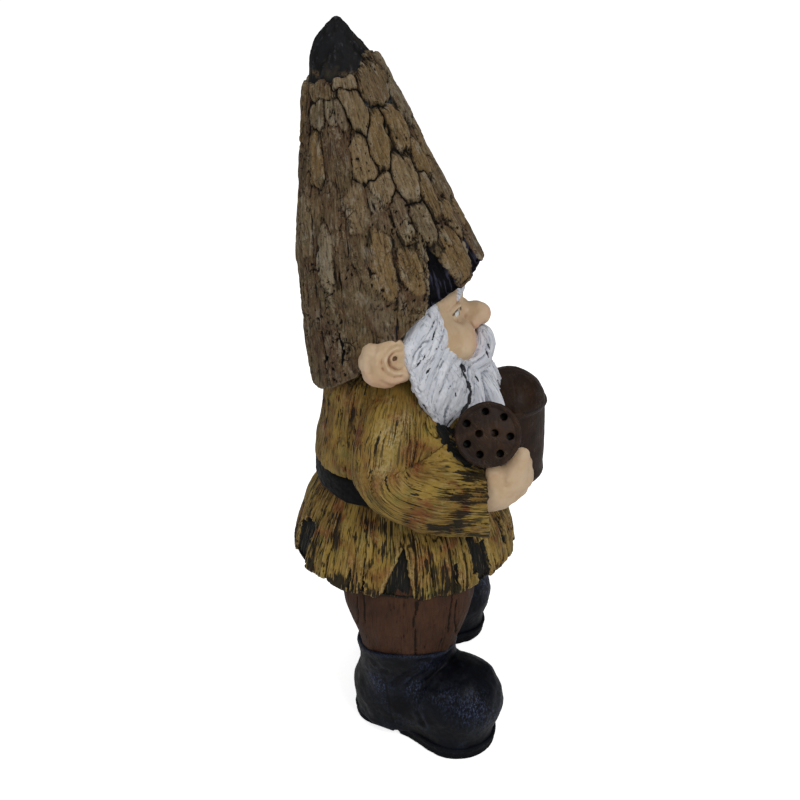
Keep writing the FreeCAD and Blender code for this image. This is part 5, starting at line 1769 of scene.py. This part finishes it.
def fleck_mask(verts, flecks, seed):
    """Flecks are laid on along a line tilted 26 degrees, onto whatever strand is outermost."""
    cos, sin = math.cos(math.radians(26)), math.sin(math.radians(26))

    def tilt(points):
        x, fore, z = points[..., 0], points[..., 1], points[..., 2]
        return np.stack([-x * cos + z * sin, fore, z * cos + x * sin], -1)

    mask = np.zeros(len(verts))
    tilted = tilt(onto_right(verts))
    for start, end, width in flecks:
        start = tilt(np.array(start, float))
        run = tilt(np.array(end, float)) - start
        t = clip01((tilted - start)[:, 1:] @ run[1:] / (run[1:] @ run[1:]))
        away = tilted - start - t[:, None] * run
        away[:, 0] *= 0.15
        taper = 0.55 + 0.45 * np.sin(math.pi * np.clip(t, 0.08, 0.92))
        distance = np.linalg.norm(away, axis=1) / taper + ripple(verts, 1.1, seed, 1) * 0.5
        mask = np.maximum(mask, smooth(width * 0.95, width * 0.50, distance))
    return mask


def comb(grid, strands, seed, flecks=(), relief=1.0, seam_shade=0.5):
    """Vertices, quads and attributes of a hair piece, streaked along its strands."""
    verts, quads = surface(grid)
    nearest, second, length, owner, offset = nearest_strand(verts, strands)
    grain = np.stack([offset[:, 0] + owner * 9.1,
                      offset[:, 1] * 0.8 + offset[:, 2] * 0.6 + owner * 4.3, length], 1)
    far = smooth(2.0, 5.0, nearest)
    grain = grain * (1 - far)[:, None] + verts * far[:, None]
    streak = ripple(grain, (2.1, 2.1, 20), seed + 3)
    fine = ripple(grain, (1.15, 1.15, 13), seed + 5)
    line = (thin(ripple(grain, (3.0, 3.0, 30), seed + 7), 0.05)
            * smooth(0.46, 0.6, noise(grain, (6, 6, 11), seed + 9)))
    seam = (smooth(1.3, 0.0, second - nearest) * (1 - far)
            * smooth(0.36, 0.62, noise(verts, 9.0, seed + 13)))
    black = fleck_mask(verts, flecks, seed + 31)
    depth = relief * (streak * 2.0 + fine * 1.3 - line * 0.6 - seam * 0.9) - black * 1.3
    verts = displace(verts, quads, depth)
    crease, ridge_highlight = creases_and_ridges(verts, quads, 1.4, 1.8)
    # painted shade between the strands and in creases, with the carved lines
    hollow = clip01(seam * seam_shade * 1.2 + line * 0.45 + crease * 0.55)
    return verts, quads, {"groove_and_shade": hollow, "ridge_highlight": ridge_highlight, "grain": grain, "black": black}


def beard():
    g = Grid((-70, -8, 214), (70, 82, 344), 1.0)
    # the mass under the strands
    g.ell((0, 30, 266), (44, 30, 32), 0)
    g.ell((0, 36, 250), (36, 27, 26), 4)
    for s in (-1, 1):
        g.tube([(s * 46, 4, 328), (s * 49, 8, 310), (s * 49, 12, 292), (s * 48, 20, 272),
                (s * 46, 27, 256)], [6, 7.0, 8, 8, 6], 4, steps=2)
        g.tube([(s * 39, 16, 330), (s * 41, 19, 312), (s * 41, 24, 294), (s * 40, 30, 276),
                (s * 39, 34, 260)], [4.5, 6, 7, 9, 8], 4, steps=2)
        g.tube([(s * 34, 28, 290), (s * 30, 38, 272), (s * 26, 45, 258)], [5, 7, 8], 4, steps=2)
    strands = both_sides(LOCKS)
    for points, radii in strands:
        g.tube(points, radii, 3.0)
    # keep the cheeks and mouth clear
    for s in (-1, 1):
        g.keep(-ellipsoid(g.x - s * 20, g.fore - 41, g.z - 306, (18.5, 23, 20.5)), 3.0)
    for points, radii in both_sides(CHEEK_LOCKS):
        g.tube(points, radii, 3.0)
    make("beard_vis", *comb(g, strands, 43, FLECKS), "hair_paint")


def moustache():
    g = Grid((-46, 30, 262), (46, 74, 312), 0.8)
    for s in (-1, 1):
        g.tube([(s * 3, 54, 292), (s * 10, 54, 285), (s * 20, 48, 282), (s * 28, 42, 283)],
               [5.5, 6.5, 5.5, 3.5], 2, steps=2)
    strands = both_sides(MOUSTACHE_LOCKS)
    for points, radii in strands:
        g.tube(points, radii, 1.6)
    make("moustache_vis", *comb(g, strands, 53, FLECKS, relief=0.8, seam_shade=0.4),
         "hair_paint")


def eyebrows():
    rng = np.random.default_rng(61)
    grid = Grid((-34, 28, 318), (4, 52, 348), 0.7)
    strands = []
    for i in range(7):
        t = i / 6
        root = np.array([-3.5 - 13 * t, 39.6 - 3.0 * t ** 1.5, 326.5 + 1.0 * math.sin(t * 3)])
        end = root + np.array([-4.0 - 2 * t, 0.6 - 1.4 * t, 10.5 - 4.0 * t])
        end = end + rng.normal(0, 0.5, 3)
        middle = (root + end) / 2 + np.array([0, 1.6, 0.4])
        strands.append(resample([root, middle, end], [1.8, 2.6, 0.9], 3))
        grid.tube(*strands[-1], 0.9)
    make_pair("eyebrow_vis", *comb(grid, strands, 63, relief=0.6, seam_shade=0.3), "hair_paint")


# ------------------------------------------------------------------ hands
# fingers from the knuckle round to the middle, top one first: points, radii; all hands are
# built on the figure's right
SPOUT_FINGERS = [
    ([(-69, 76, 220.5), (-62.5, 83, 222), (-51, 85, 222.5), (-40, 84, 222)],
     [6.0, 5.6, 5.3, 4.6]),
    ([(-69, 77, 214), (-62, 84, 214.5), (-51, 86, 214.5), (-39, 84.5, 214)],
     [6.0, 5.7, 5.3, 4.7]),
    ([(-68.5, 75.0, 207.5), (-61.5, 81, 207.8), (-50.5, 83.3, 207.5), (-40, 82.5, 207)],
     [5.8, 5.4, 5.1, 4.5]),
    ([(-68, 69.5, 202.0), (-61, 75, 202.0), (-51, 78, 202.0), (-43, 77.5, 202.0)],
     [5.2, 4.9, 4.6, 4.0]),
]
SPOUT_THUMB = ([(-71.5, 66, 214.5), (-72.0, 72.0, 221), (-69.8, 77.8, 228.5), (-66, 81.3, 235.5)],
               [8.6, 8.2, 7.2, 5.4])
HANDLE_FINGERS = [
    ([(-67, 82, 219), (-60, 90, 221.5), (-50, 91.5, 222), (-44, 86, 221)], [6.8, 6.5, 6.0, 5.2]),
    ([(-67, 84, 210), (-60, 92.5, 211.0), (-49, 93.5, 211), (-43, 87, 210)],
     [7.0, 6.6, 6.1, 5.3]),
    ([(-67, 82, 200.5), (-60, 91, 201), (-49.5, 92.5, 201), (-43.5, 86, 200)],
     [6.8, 6.3, 5.8, 5.0]),
    ([(-67, 78, 192), (-60, 87, 192), (-50.5, 89.5, 192), (-45, 84, 191)], [6.0, 5.6, 5.1, 4.4]),
]
HANDLE_THUMB = ([(-69, 68, 216), (-65, 70, 225), (-58, 72, 231), (-50, 75, 233)],
                [8.0, 7.4, 6.6, 5.2])


def hand_grid():
    return Grid((-92, 46, 180), (-22, 112, 254), 0.85)


def add_digits(g, fingers, thumb):
    for points, radii in fingers:
        g.tube(points, radii, 2.2, steps=2)
    g.tube(*thumb, 5.0, steps=3)


def finish_hand(name, grid, mirror):
    verts, quads = surface(grid)
    verts = displace(verts, quads, ripple(verts, 8.0, 501) * 1.3 + ripple(verts, 3.0, 503) * 0.35)
    crease, ridge_highlight = creases_and_ridges(verts, quads, 2.0, 1.8, 3)
    make(name, verts, quads, {"groove_and_shade": crease, "ridge_highlight": ridge_highlight, "blush": 0, "black": 0},
         "skin_paint", mirror)


def right_hand():
    """Round the spout."""
    g = hand_grid()
    g.tube([(-71.5, 46, 204.5), (-70.5, 60, 208)], [10.5, 11.5])
    g.ell((-68.0, 67.0, 213.0), (11.5, 14.0, 13.0), 6, pitch=10)
    g.ell((-69.0, 65, 208.0), (9.0, 11, 8.5), 5)
    g.ell((-71.5, 62.0, 221.5), (7.5, 6.0, 9.5), 3.5)
    add_digits(g, SPOUT_FINGERS, SPOUT_THUMB)
    # crease between the thumb and the palm, and the cut of the thumb's edge
    g.tube([(-76, 67.6, 238.5), (-78.5, 68.0, 231), (-80, 68.2, 224.5), (-80.3, 70.3, 220.4),
            (-80, 74.7, 225), (-78, 78.3, 232)], [3.2, 2.8, 1.9, 1.6, 1.3, 0.8], 1.8,
           steps=3, cut=True)
    finish_hand("right_hand_vis", g, mirror=False)


def left_hand():
    """Round the handle."""
    g = hand_grid()
    g.tube([(-71.5, 48, 203), (-70.5, 62, 204)], [11.5, 12.5])
    g.ell((-67.5, 72, 207.5), (12.0, 14.0, 16.5), 6, pitch=14)
    add_digits(g, HANDLE_FINGERS, HANDLE_THUMB)
    # creases between the fingers on the back of the hand
    for start, end in (((-78.5, 72, 215.5), (-70, 84.5, 216.8)),
                       ((-78.5, 71, 208.8), (-69, 83.5, 209.4)),
                       ((-77, 68, 202.5), (-69, 79, 203.2))):
        g.tube([start, end], [0.9, 1.3], 2.0, cut=True)
    finish_hand("left_hand_vis", g, mirror=True)


# ------------------------------------------------------------------ watering can
CAN_X, CAN_FORE = 8.0, 77.5
CAN_ORIGIN = np.array([CAN_X, CAN_FORE, 0])
# up the outside, over the rolled rim and down the inside: radius, z
CAN = [(0.5, 182.6), (14, 182.2), (21, 182.0), (25.0, 182.4), (27.0, 184), (27.6, 186.5),
       (27.2, 189), (26.8, 192), (26.9, 198), (27.0, 210), (26.8, 222), (26.4, 232),
       (26.2, 237), (26.4, 238.6), (27.2, 239.8), (27.6, 241.4), (27.1, 243.0), (25.8, 243.8),
       (24.2, 243.2), (23.6, 240), (23.6, 220), (23.5, 190), (22, 187), (10, 186.5),
       (0.5, 186.5)]


def can_body():
    angle = angles(220)
    square = 1 + 0.012 * np.cos(4 * angle) + 0.01 * np.cos(3 * angle + 1)
    rows = []
    for radius, z in resample_profile(CAN, 5):
        radius = max(radius, 0.4)
        wave = ripple(around(angle, 2.4, z / 22), 1, 511, 1) * 1.5 * min(1, radius / 20)
        rows.append(circle(CAN_X, CAN_FORE, radius * square + wave, angle, z))
    verts, quads = closed_rows(rows)
    verts = displace(verts, quads, ripple(verts, 5.0, 513, 3) * 0.5)
    crease, ridge_highlight = creases_and_ridges(verts, quads, 2.5, 2.5)
    x, fore, z = verts.T
    # painted shade inside the can
    inside = smooth(25.0, 23.8, np.hypot(x - CAN_X, fore - CAN_FORE)) * smooth(184, 188, z)
    make("can_body_vis", verts, quads,
         {"groove_and_shade": np.maximum(crease, inside), "ridge_highlight": ridge_highlight, "grain": verts - CAN_ORIGIN,
          "black": inside * 0.8}, "can_paint")


HOOD_Z, HOOD_RADIUS, HOOD_HEIGHT = 241.5, 27.0, 22.3
OPENING, OPENING_LEAN = 8.0, 0.35       # x from the can's middle, and its gain per mm of height


def hood_edge():
    """Points on the curve where the leaning opening meets the dome, arched over the can."""
    radius, height = HOOD_RADIUS - 1.0, HOOD_HEIGHT - 1.0
    # the top is where the opening's plane meets the dome above the middle: a h^2 + b h + c = 0
    a = OPENING_LEAN ** 2 / radius ** 2 + 1 / height ** 2
    b = 2 * OPENING * OPENING_LEAN / radius ** 2
    c = OPENING ** 2 / radius ** 2 - 1
    top = (-b + math.sqrt(b * b - 4 * a * c)) / (2 * a)
    points = []
    for t in np.linspace(0, math.pi, 27):
        rise = top * math.sin(t)
        out = OPENING + OPENING_LEAN * rise
        half = math.sqrt(max(0.0, radius ** 2 * (1 - rise * rise / height ** 2) - out ** 2))
        points.append((CAN_X + out, CAN_FORE + math.copysign(half, math.cos(t)), HOOD_Z + rise))
    return points


def can_hood():
    """A dome over the mouth, open on the handle side."""
    g = Grid((CAN_X - 34, CAN_FORE - 34, 234), (CAN_X + 34, CAN_FORE + 34, 274), 0.8)
    g.ell((CAN_X, CAN_FORE, HOOD_Z), (HOOD_RADIUS, HOOD_RADIUS, HOOD_HEIGHT))
    inner = ellipsoid(g.x - CAN_X, g.fore - CAN_FORE, g.z - HOOD_Z + 0.6,
                      (HOOD_RADIUS - 2.6, HOOD_RADIUS - 2.6, HOOD_HEIGHT - 2.4))
    g.keep(-inner, 1.2)
    g.keep(HOOD_Z - 0.6 - g.z, 1.2)
    g.keep((g.x - CAN_X - OPENING) - OPENING_LEAN * (g.z - HOOD_Z), 1.6)
    g.tube(hood_edge(), 1.6, 1.4)
    # faint seam ridge from the mouth over the crown
    g.tube([(CAN_X - 26.5, CAN_FORE + 3, HOOD_Z + 3), (CAN_X - 20, CAN_FORE + 2, HOOD_Z + 14.5),
            (CAN_X - 8, CAN_FORE + 1, HOOD_Z + 20.6), (CAN_X + 6, CAN_FORE, HOOD_Z + 21.0)],
           [0.7, 0.8, 0.8, 0.7], 2.2, steps=4)
    verts, quads = surface(g)
    verts = displace(verts, quads, ripple(verts, 10.0, 521) * 1.6 + ripple(verts, 3.5, 523) * 0.4)
    crease, ridge_highlight = creases_and_ridges(verts, quads, 2.5, 2.5)
    # painted shade in creases and along the lower edge, where the hood sits on the can
    make("can_hood_vis", verts, quads,
         {"groove_and_shade": np.maximum(crease, 0.6 * smooth(244.5, 242.5, verts[:, 2])), "ridge_highlight": ridge_highlight,
          "grain": verts - CAN_ORIGIN, "black": 0}, "can_paint")


def can_tube(name, grid, size, seed, amount, origin):
    verts, quads = surface(grid)
    verts = displace(verts, quads, ripple(verts, size, seed) * amount)
    crease, ridge_highlight = creases_and_ridges(verts, quads, 2.5, 2.0)
    make(name, verts, quads,
         {"groove_and_shade": crease, "ridge_highlight": ridge_highlight, "grain": verts - origin, "black": 0}, "can_paint")


def can_handle():
    """A loop on the figure's left."""
    g = Grid((CAN_X + 16, CAN_FORE - 12, 184), (CAN_X + 56, CAN_FORE + 12, 250), 0.75)
    points = [(CAN_X + out, CAN_FORE, z) for out, z in
              ((24, 193.5), (33, 194), (41, 203), (44.5, 216), (42, 229), (34, 237.0),
               (24, 236.0))]
    g.tube(points, [4.2, 3.7, 3.7, 3.7, 3.7, 3.7, 4.2], steps=5)
    can_tube("can_handle_vis", g, 5.0, 531, 0.8, CAN_ORIGIN)


# the rose's place, the way its face looks, and two axes in its face
ROSE = np.array([-77.5, 57.4, 257.2])
ROSE_OUT = np.array([-0.900, 0.02, 0.436])
ROSE_OUT /= np.linalg.norm(ROSE_OUT)
ROSE_SIDE = np.array([0.0, 1.0, 0.0]) - ROSE_OUT * ROSE_OUT[1]
ROSE_SIDE /= np.linalg.norm(ROSE_SIDE)
ROSE_UP = np.cross(ROSE_SIDE, ROSE_OUT)
HOLES = [(-1.8, 15.2), (10.2, 11.6), (14.4, -1.0), (7.9, -12.2), (-5.4, -12.8),
         (-13.8, -6.0), (-14.0, 7.5), (-6.0, 0.8), (4.2, 1.2)]


def can_rose():
    """Built lying face up on its own axes: across, up the face, and out of it."""
    g = Grid((-26, -26, -16), (26, 26, 6), 0.55)
    radius = np.sqrt(g.x ** 2 + g.fore ** 2)
    solid = smax(radius - 21.2, g.z - (1.2 - 0.0038 * radius ** 2), 2.2)
    cone = radius - (21.0 + 1.02 * np.minimum(g.z + 4.0, 0))
    solid = smax(solid, cone.astype(np.float32), 1.5)
    solid = smax(solid, -15 - g.z, 0.5)
    rim = np.sqrt((radius - 20.2) ** 2 + (g.z + 0.8) ** 2) - 1.5
    solid = smin(solid, rim, 0.9)
    for a, b in HOLES:
        hole = smax(np.sqrt((g.x - a) ** 2 + (g.fore - b) ** 2) - 2.4, -6.5 - g.z, 0.4)
        solid = smax(solid, -hole, 0.7)
    g.field[:] = solid
    verts, quads = surface(g)
    verts = displace(verts, quads,
                     ripple(verts, (1.2, 10, 4), 541) * 0.35 + ripple(verts, 6, 543) * 0.6)
    crease, ridge_highlight = creases_and_ridges(verts, quads, 2.0, 2.2)
    across, up, out = verts.T
    # painted shade: the holes are painted black, the creases dark
    hole = highest(*(smooth(2.7, 2.1, np.hypot(across - a, up - b)) for a, b in HOLES))
    # scratches run round the face on a slant
    cos, sin = math.cos(0.7), math.sin(0.7)
    grain = np.stack([across * cos + up * sin, out,
                      -across * sin + up * cos + 0.02 * (across ** 2 + up ** 2)], 1)
    line = np.exp(-((np.hypot(across, up) - 18.2) / 0.8) ** 2) * (out > -3)
    placed = (ROSE + across[:, None] * ROSE_SIDE + up[:, None] * ROSE_UP
              + out[:, None] * ROSE_OUT)
    make("can_rose_vis", placed, quads,
         {"groove_and_shade": np.maximum(crease, line * 0.45) * (1 - hole), "ridge_highlight": ridge_highlight, "grain": grain,
          "black": hole}, "rose_paint")


def can_spout():
    """From low on the can to the back of the rose."""
    g = Grid((-80, 44, 186), (2, 92, 268), 0.95)
    g.tube([(CAN_X - 20, CAN_FORE - 6, 202), (CAN_X - 34, CAN_FORE - 10, 214),
            (CAN_X - 48, CAN_FORE - 15, 230), ROSE - ROSE_OUT * 24.0, ROSE - ROSE_OUT * 13.0],
           [12.5, 10.5, 9.0, 9.0, 10.5], steps=4)
    g.tube([(CAN_X - 24, CAN_FORE - 7, 204), (CAN_X - 30, CAN_FORE - 8.6, 209)],
           [14.0, 12.2], 2.5)
    can_tube("can_spout_vis", g, 7.0, 551, 1.0, 0)


# ------------------------------------------------------------------ boots
# The right boot is built on its own axes (across, along the foot, z), turned out by SPLAY.
SPLAY = math.radians(28.4)
SPLAY_COS, SPLAY_SIN = math.cos(SPLAY), math.sin(SPLAY)
HEEL_X, HEEL_FORE = -42.0, -6.0
SHAFT_Z = [10, 40, 78, 90]
shaft_x = curve(SHAFT_Z, [-44.5, -46, -47, -47])
shaft_fore = curve(SHAFT_Z, [0.5, 3.5, 5.5, 5.5])
shaft_radius = curve([10, 30, 50, 66, 78, 84], [29.5, 31.0, 33.0, 34.6, 37.4, 38.6])
# the sole's outline follows circles along the foot: centres, radii
SOLE_LINE = [(1.0, -6, 0), (1.5, 10, 0), (1.5, 28, 0), (0.5, 44, 0), (0, 54, 0)]
SOLE_RADII = [23.0, 23.3, 24.2, 27.2, 29.8]
# folds in the right half of the boot, copied to the other: points, width, depth
BOOT_FOLDS = [
    ([(0, 47, 66), (-8, 45, 64), (-15, 41, 60), (-22, 38, 51), (-27, 38, 40), (-29, 42, 28)],
     2.4, 1.7),
    ([(0, 42, 75), (-12, 38, 73), (-24, 32, 69), (-31, 24, 61), (-33, 18, 54)], 2.0, 1.1),
    ([(0, 52, 58), (-8, 49, 57), (-16, 46, 50), (-22, 46, 41)], 2.2, 1.2),
    ([(-18, 40, 70), (-26, 32, 62), (-30, 29, 52)], 1.8, 0.9),
    ([(-34, -8, 68), (-35, 4, 64), (-34, 14, 66)], 2.0, 0.7),
]
# worn spots, copied likewise: centre, radii, strength
BOOT_WEAR = [((-18, 74, 44), (11, 12, 12), 1.0), ((-6, 84, 34), (14, 8, 10), 0.7),
             ((-32, 4, 50), (9, 11, 9), 0.9), ((-28, 34, 52), (8, 8, 9), 0.8),
             ((-24, 60, 52), (9, 10, 8), 0.6), ((-16, 38, 74), (12, 9, 6), 0.6)]


def place_boot(verts):
    """From the boot's axes to the figure's."""
    across, along, z = verts.T
    return np.stack([HEEL_X - SPLAY_SIN * along + SPLAY_COS * across,
                     HEEL_FORE + SPLAY_COS * along + SPLAY_SIN * across, z], 1)


def outline_distance(grid):
    """Distance to the sole's outline in plan."""
    flat = np.zeros((1, 1, 1), np.float32)
    return tube_distance(grid.x, grid.fore, flat, *resample(SOLE_LINE, SOLE_RADII, 3))


def boot_grid():
    g = Grid((-44, -40, 6), (44, 96, 88), 1.1)
    # toe cap, vamp and heel
    g.ell((0, 56, 36.5), (32.5, 32.0, 31.0))
    g.ell((0, 40, 31), (29.5, 30, 26), 8)
    g.ell((0, 18, 28), (27.0, 30, 25), 8)
    g.ell((0, -3, 30), (26.0, 25.5, 27.5), 8)
    # shaft, its top edge higher at both sides than in the middle
    levels = g.z.astype(float)
    dx, df = shaft_x(levels) - HEEL_X, shaft_fore(levels) - HEEL_FORE
    from_axis = np.sqrt((g.x - (SPLAY_COS * dx + SPLAY_SIN * df)) ** 2
                        + (g.fore - (-SPLAY_SIN * dx + SPLAY_COS * df)) ** 2)
    shaft = (from_axis - shaft_radius(levels)).astype(np.float32)
    figure_x = HEEL_X - SPLAY_SIN * g.fore + SPLAY_COS * g.x
    top = 75.0 + 9.5 * np.clip(np.abs(figure_x + 47) / 35.5, 0, 1.1) ** 2
    g.join(smax(shaft, (g.z - top).astype(np.float32), 3.0), 7.0)
    # the upper comes down to the sole all round
    g.join(smax(outline_distance(g) + 1.6, g.z - 26, 14.0), 7.0)
    bore = (from_axis - (shaft_radius(levels) - 4.8)).astype(np.float32)
    g.keep(-smax(bore, 66 - g.z, 2), 2.0)
    g.keep(7.6 - g.z, 1.0)
    return g


def boots():
    verts, quads = surface(boot_grid())
    across, along, z = verts.T
    # wrinkles round the ankle and a seam down each side
    ankle = smooth(44, 60, z) * smooth(78, 70, z) * smooth(0.40, 0.62, noise(verts, 16, 607))
    wrinkle = np.sin((z - 0.35 * along) / 2.6 + 3.0 * noise(verts, 18, 605, 2)) * ankle
    seam = (np.exp(-((along - 14 + 0.12 * (z - 40)) / 1.2) ** 2)
            * smooth(18, 24, np.abs(across)) * smooth(12, 18, z) * smooth(64, 56, z))
    right = onto_right(verts)
    wander = ripple(verts, 5, 611, 1) * 1.2
    fold = np.zeros(len(verts))
    for points, width, deep in BOOT_FOLDS:
        away = tube_distance(*right.T, *resample(points, 0, 3)) + wander
        fold = (fold - deep * np.exp(-(away / width) ** 2)
                + 0.45 * deep * np.exp(-((away - 2.0 * width) / (1.1 * width)) ** 2))
    worn = highest(*(strength * spot(right, centre, radii)
                     for centre, radii, strength in BOOT_WEAR))
    verts = displace(verts, quads, ripple(verts, 15, 601) * 2.4 + ripple(verts, 4.5, 603, 3) * 0.7
                     + wrinkle * 0.5 - seam * 0.45 + fold)
    crease, ridge_highlight = creases_and_ridges(verts, quads, 2.0, 2.2, 3)
    # painted shade in creases, along the seam and in the folds
    hollow = highest(crease, seam * 0.8, np.clip(-fold * 0.45, 0, 0.8))
    make_pair("boot_vis", place_boot(verts), quads, {"groove_and_shade": hollow, "ridge_highlight": ridge_highlight, "rub": worn},
              "boot_paint")


def soles():
    """Welt, fore part and heel block, with a raised arch between."""
    g = Grid((-44, -40, -3), (44, 98, 20), 0.95)
    outline = outline_distance(g)
    slab = smax(g.z - 8, 0.0 - g.z, 0.5)
    welt = smax(outline - 0.2, smax(g.z - 10.0, 6.4 - g.z, 0.8), 1.6)
    fore_part = smax(outline + 0.9, smax(slab, 17.0 - g.fore, 1.0), 1.6)
    heel = smax(outline + 0.7, smax(slab, g.fore - 13.0, 1.0), 1.4)
    arch = smax(outline + 1.2, smax(g.z - 8, 2.2 - g.z, 0.5), 1.2)
    g.field[:] = smin(smin(smin(welt, fore_part, 0.6), heel, 0.6), arch, 0.8)
    verts, quads = surface(g)
    rough = ripple(verts, (5, 5, 3.5), 611, 3) * smooth(0.3, 1.5, verts[:, 2])
    verts = displace(verts, quads, rough)
    verts[:, 2] = np.maximum(verts[:, 2], 0.0)
    crease, ridge_highlight = creases_and_ridges(verts, quads, 3.0, 2.2)
    make_pair("sole_vis", place_boot(verts), quads, {"groove_and_shade": crease, "ridge_highlight": ridge_highlight},
              "sole_paint")


for build in (hat_shell, hat_tip, jacket_body, sleeves, jacket_skirt, belt, trousers, head, eyes,
              ears, beard, moustache, eyebrows, right_hand, left_hand, can_body, can_hood,
              can_handle, can_rose, can_spout, boots, soles):
    build()

# the CAD rods and dowels stay, in steel
for name in ("right_leg_rod", "left_leg_rod", "spine_rod", "wrist_dowels"):
    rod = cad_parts[name]
    rod.data.materials.clear()
    rod.data.materials.append(PAINTS["armature_steel"])

# each piece takes the place of the CAD node it is named after; the eyes have none
for name, (piece, paint) in PIECES.items():
    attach(piece, "root")
    if paint == "eye_paint":
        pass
    else:
        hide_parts(name.removesuffix("_vis"))


# ------------------------------------------------------------------ floor, light, camera
def add_object(name, data):
    thing = bpy.data.objects.new(name, data)
    bpy.context.scene.collection.objects.link(thing)
    return thing


def floor_paint():
    """Pale grey that glows for the camera only."""
    grey = 0.86
    p = Paint("floor_pale", specular=0.2)
    wave = p.noise(p.place, scale=3.0, rough=0.5, shift=1.0)
    p.base(p.ramp(wave, 0.3, 0.7), (grey, grey, grey, 1), (*[grey * 1.01] * 3, 1))
    p.finish(p.ramp(wave, 0.3, 0.7, 0.9, 0.93), wave, strength=0.02, distance=0.0005)
    p.shader.inputs["Emission Color"].default_value = (1, 1, 1, 1)
    seen = p.node("LightPath").outputs["Is Camera Ray"]
    p.put(p.shader.inputs["Emission Strength"], p.times(seen, 0.74))


def add_floor():
    half, drop = 14.0, -0.0006
    mesh = bpy.data.meshes.new("floor")
    mesh.from_pydata([(-half, -half, drop), (half, -half, drop), (half, half, drop),
                      (-half, half, drop)], [], [(0, 1, 2, 3)])
    floor = add_object("floor", mesh)
    floor_paint()
    mesh.materials.append(PAINTS["floor_pale"])


def add_world():
    """White: 1 to the camera, 0.13 in reflections and 0.36 otherwise."""
    world = bpy.data.worlds.new("studio")
    bpy.context.scene.world = world
    world.use_nodes = True
    nodes, links = world.node_tree.nodes, world.node_tree.links
    background = nodes["Background"]
    background.inputs[0].default_value = (1.0, 1.0, 1.0, 1)
    path = nodes.new("ShaderNodeLightPath")
    dim = nodes.new("ShaderNodeMapRange")
    dim.inputs["To Min"].default_value = 0.36
    dim.inputs["To Max"].default_value = 0.13
    links.new(path.outputs["Is Glossy Ray"], dim.inputs["Value"])
    seen = nodes.new("ShaderNodeMix")
    links.new(path.outputs["Is Camera Ray"], seen.inputs[0])
    links.new(dim.outputs[0], seen.inputs[2])
    seen.inputs[3].default_value = 1.0
    links.new(seen.outputs[0], background.inputs[1])


def add_light(name, place, size, power):
    """A square light aimed at the figure's middle."""
    light = bpy.data.lights.new(name, "AREA")
    light.shape = "SQUARE"
    light.size = size
    light.energy = power
    lamp = bpy.data.objects.new(name, light)
    lamp.location = place
    aim = Vector((0, 0, 0.25)) - Vector(place)
    lamp.rotation_euler = aim.to_track_quat("-Z", "Y").to_euler()
    bpy.context.scene.collection.objects.link(lamp)


def add_camera():
    """From the figure's right, looking down at it."""
    half_view, down = math.radians(18.0), math.radians(26.0)
    data = bpy.data.cameras.new("camera")
    camera = add_object("camera", data)
    data.sensor_width = 36.0
    data.lens = 36.0 / 2 / math.tan(half_view)
    camera.location = (-0.787, SHIFT / 1000, 0.6284)
    look = Vector((math.cos(down), 0, -math.sin(down)))
    camera.rotation_euler = look.to_track_quat("-Z", "Y").to_euler()
    bpy.context.scene.camera = camera


add_floor()
add_world()
add_light("key", place=(-1.5, -0.9, 1.6), size=0.8, power=16)
add_light("fill", place=(-1.3, 1.5, 1.1), size=1.0, power=6)
add_light("top", place=(0.4, 0.1, 2.2), size=1.1, power=7)
add_camera()
bpy.context.scene.view_settings.view_transform = "Standard"
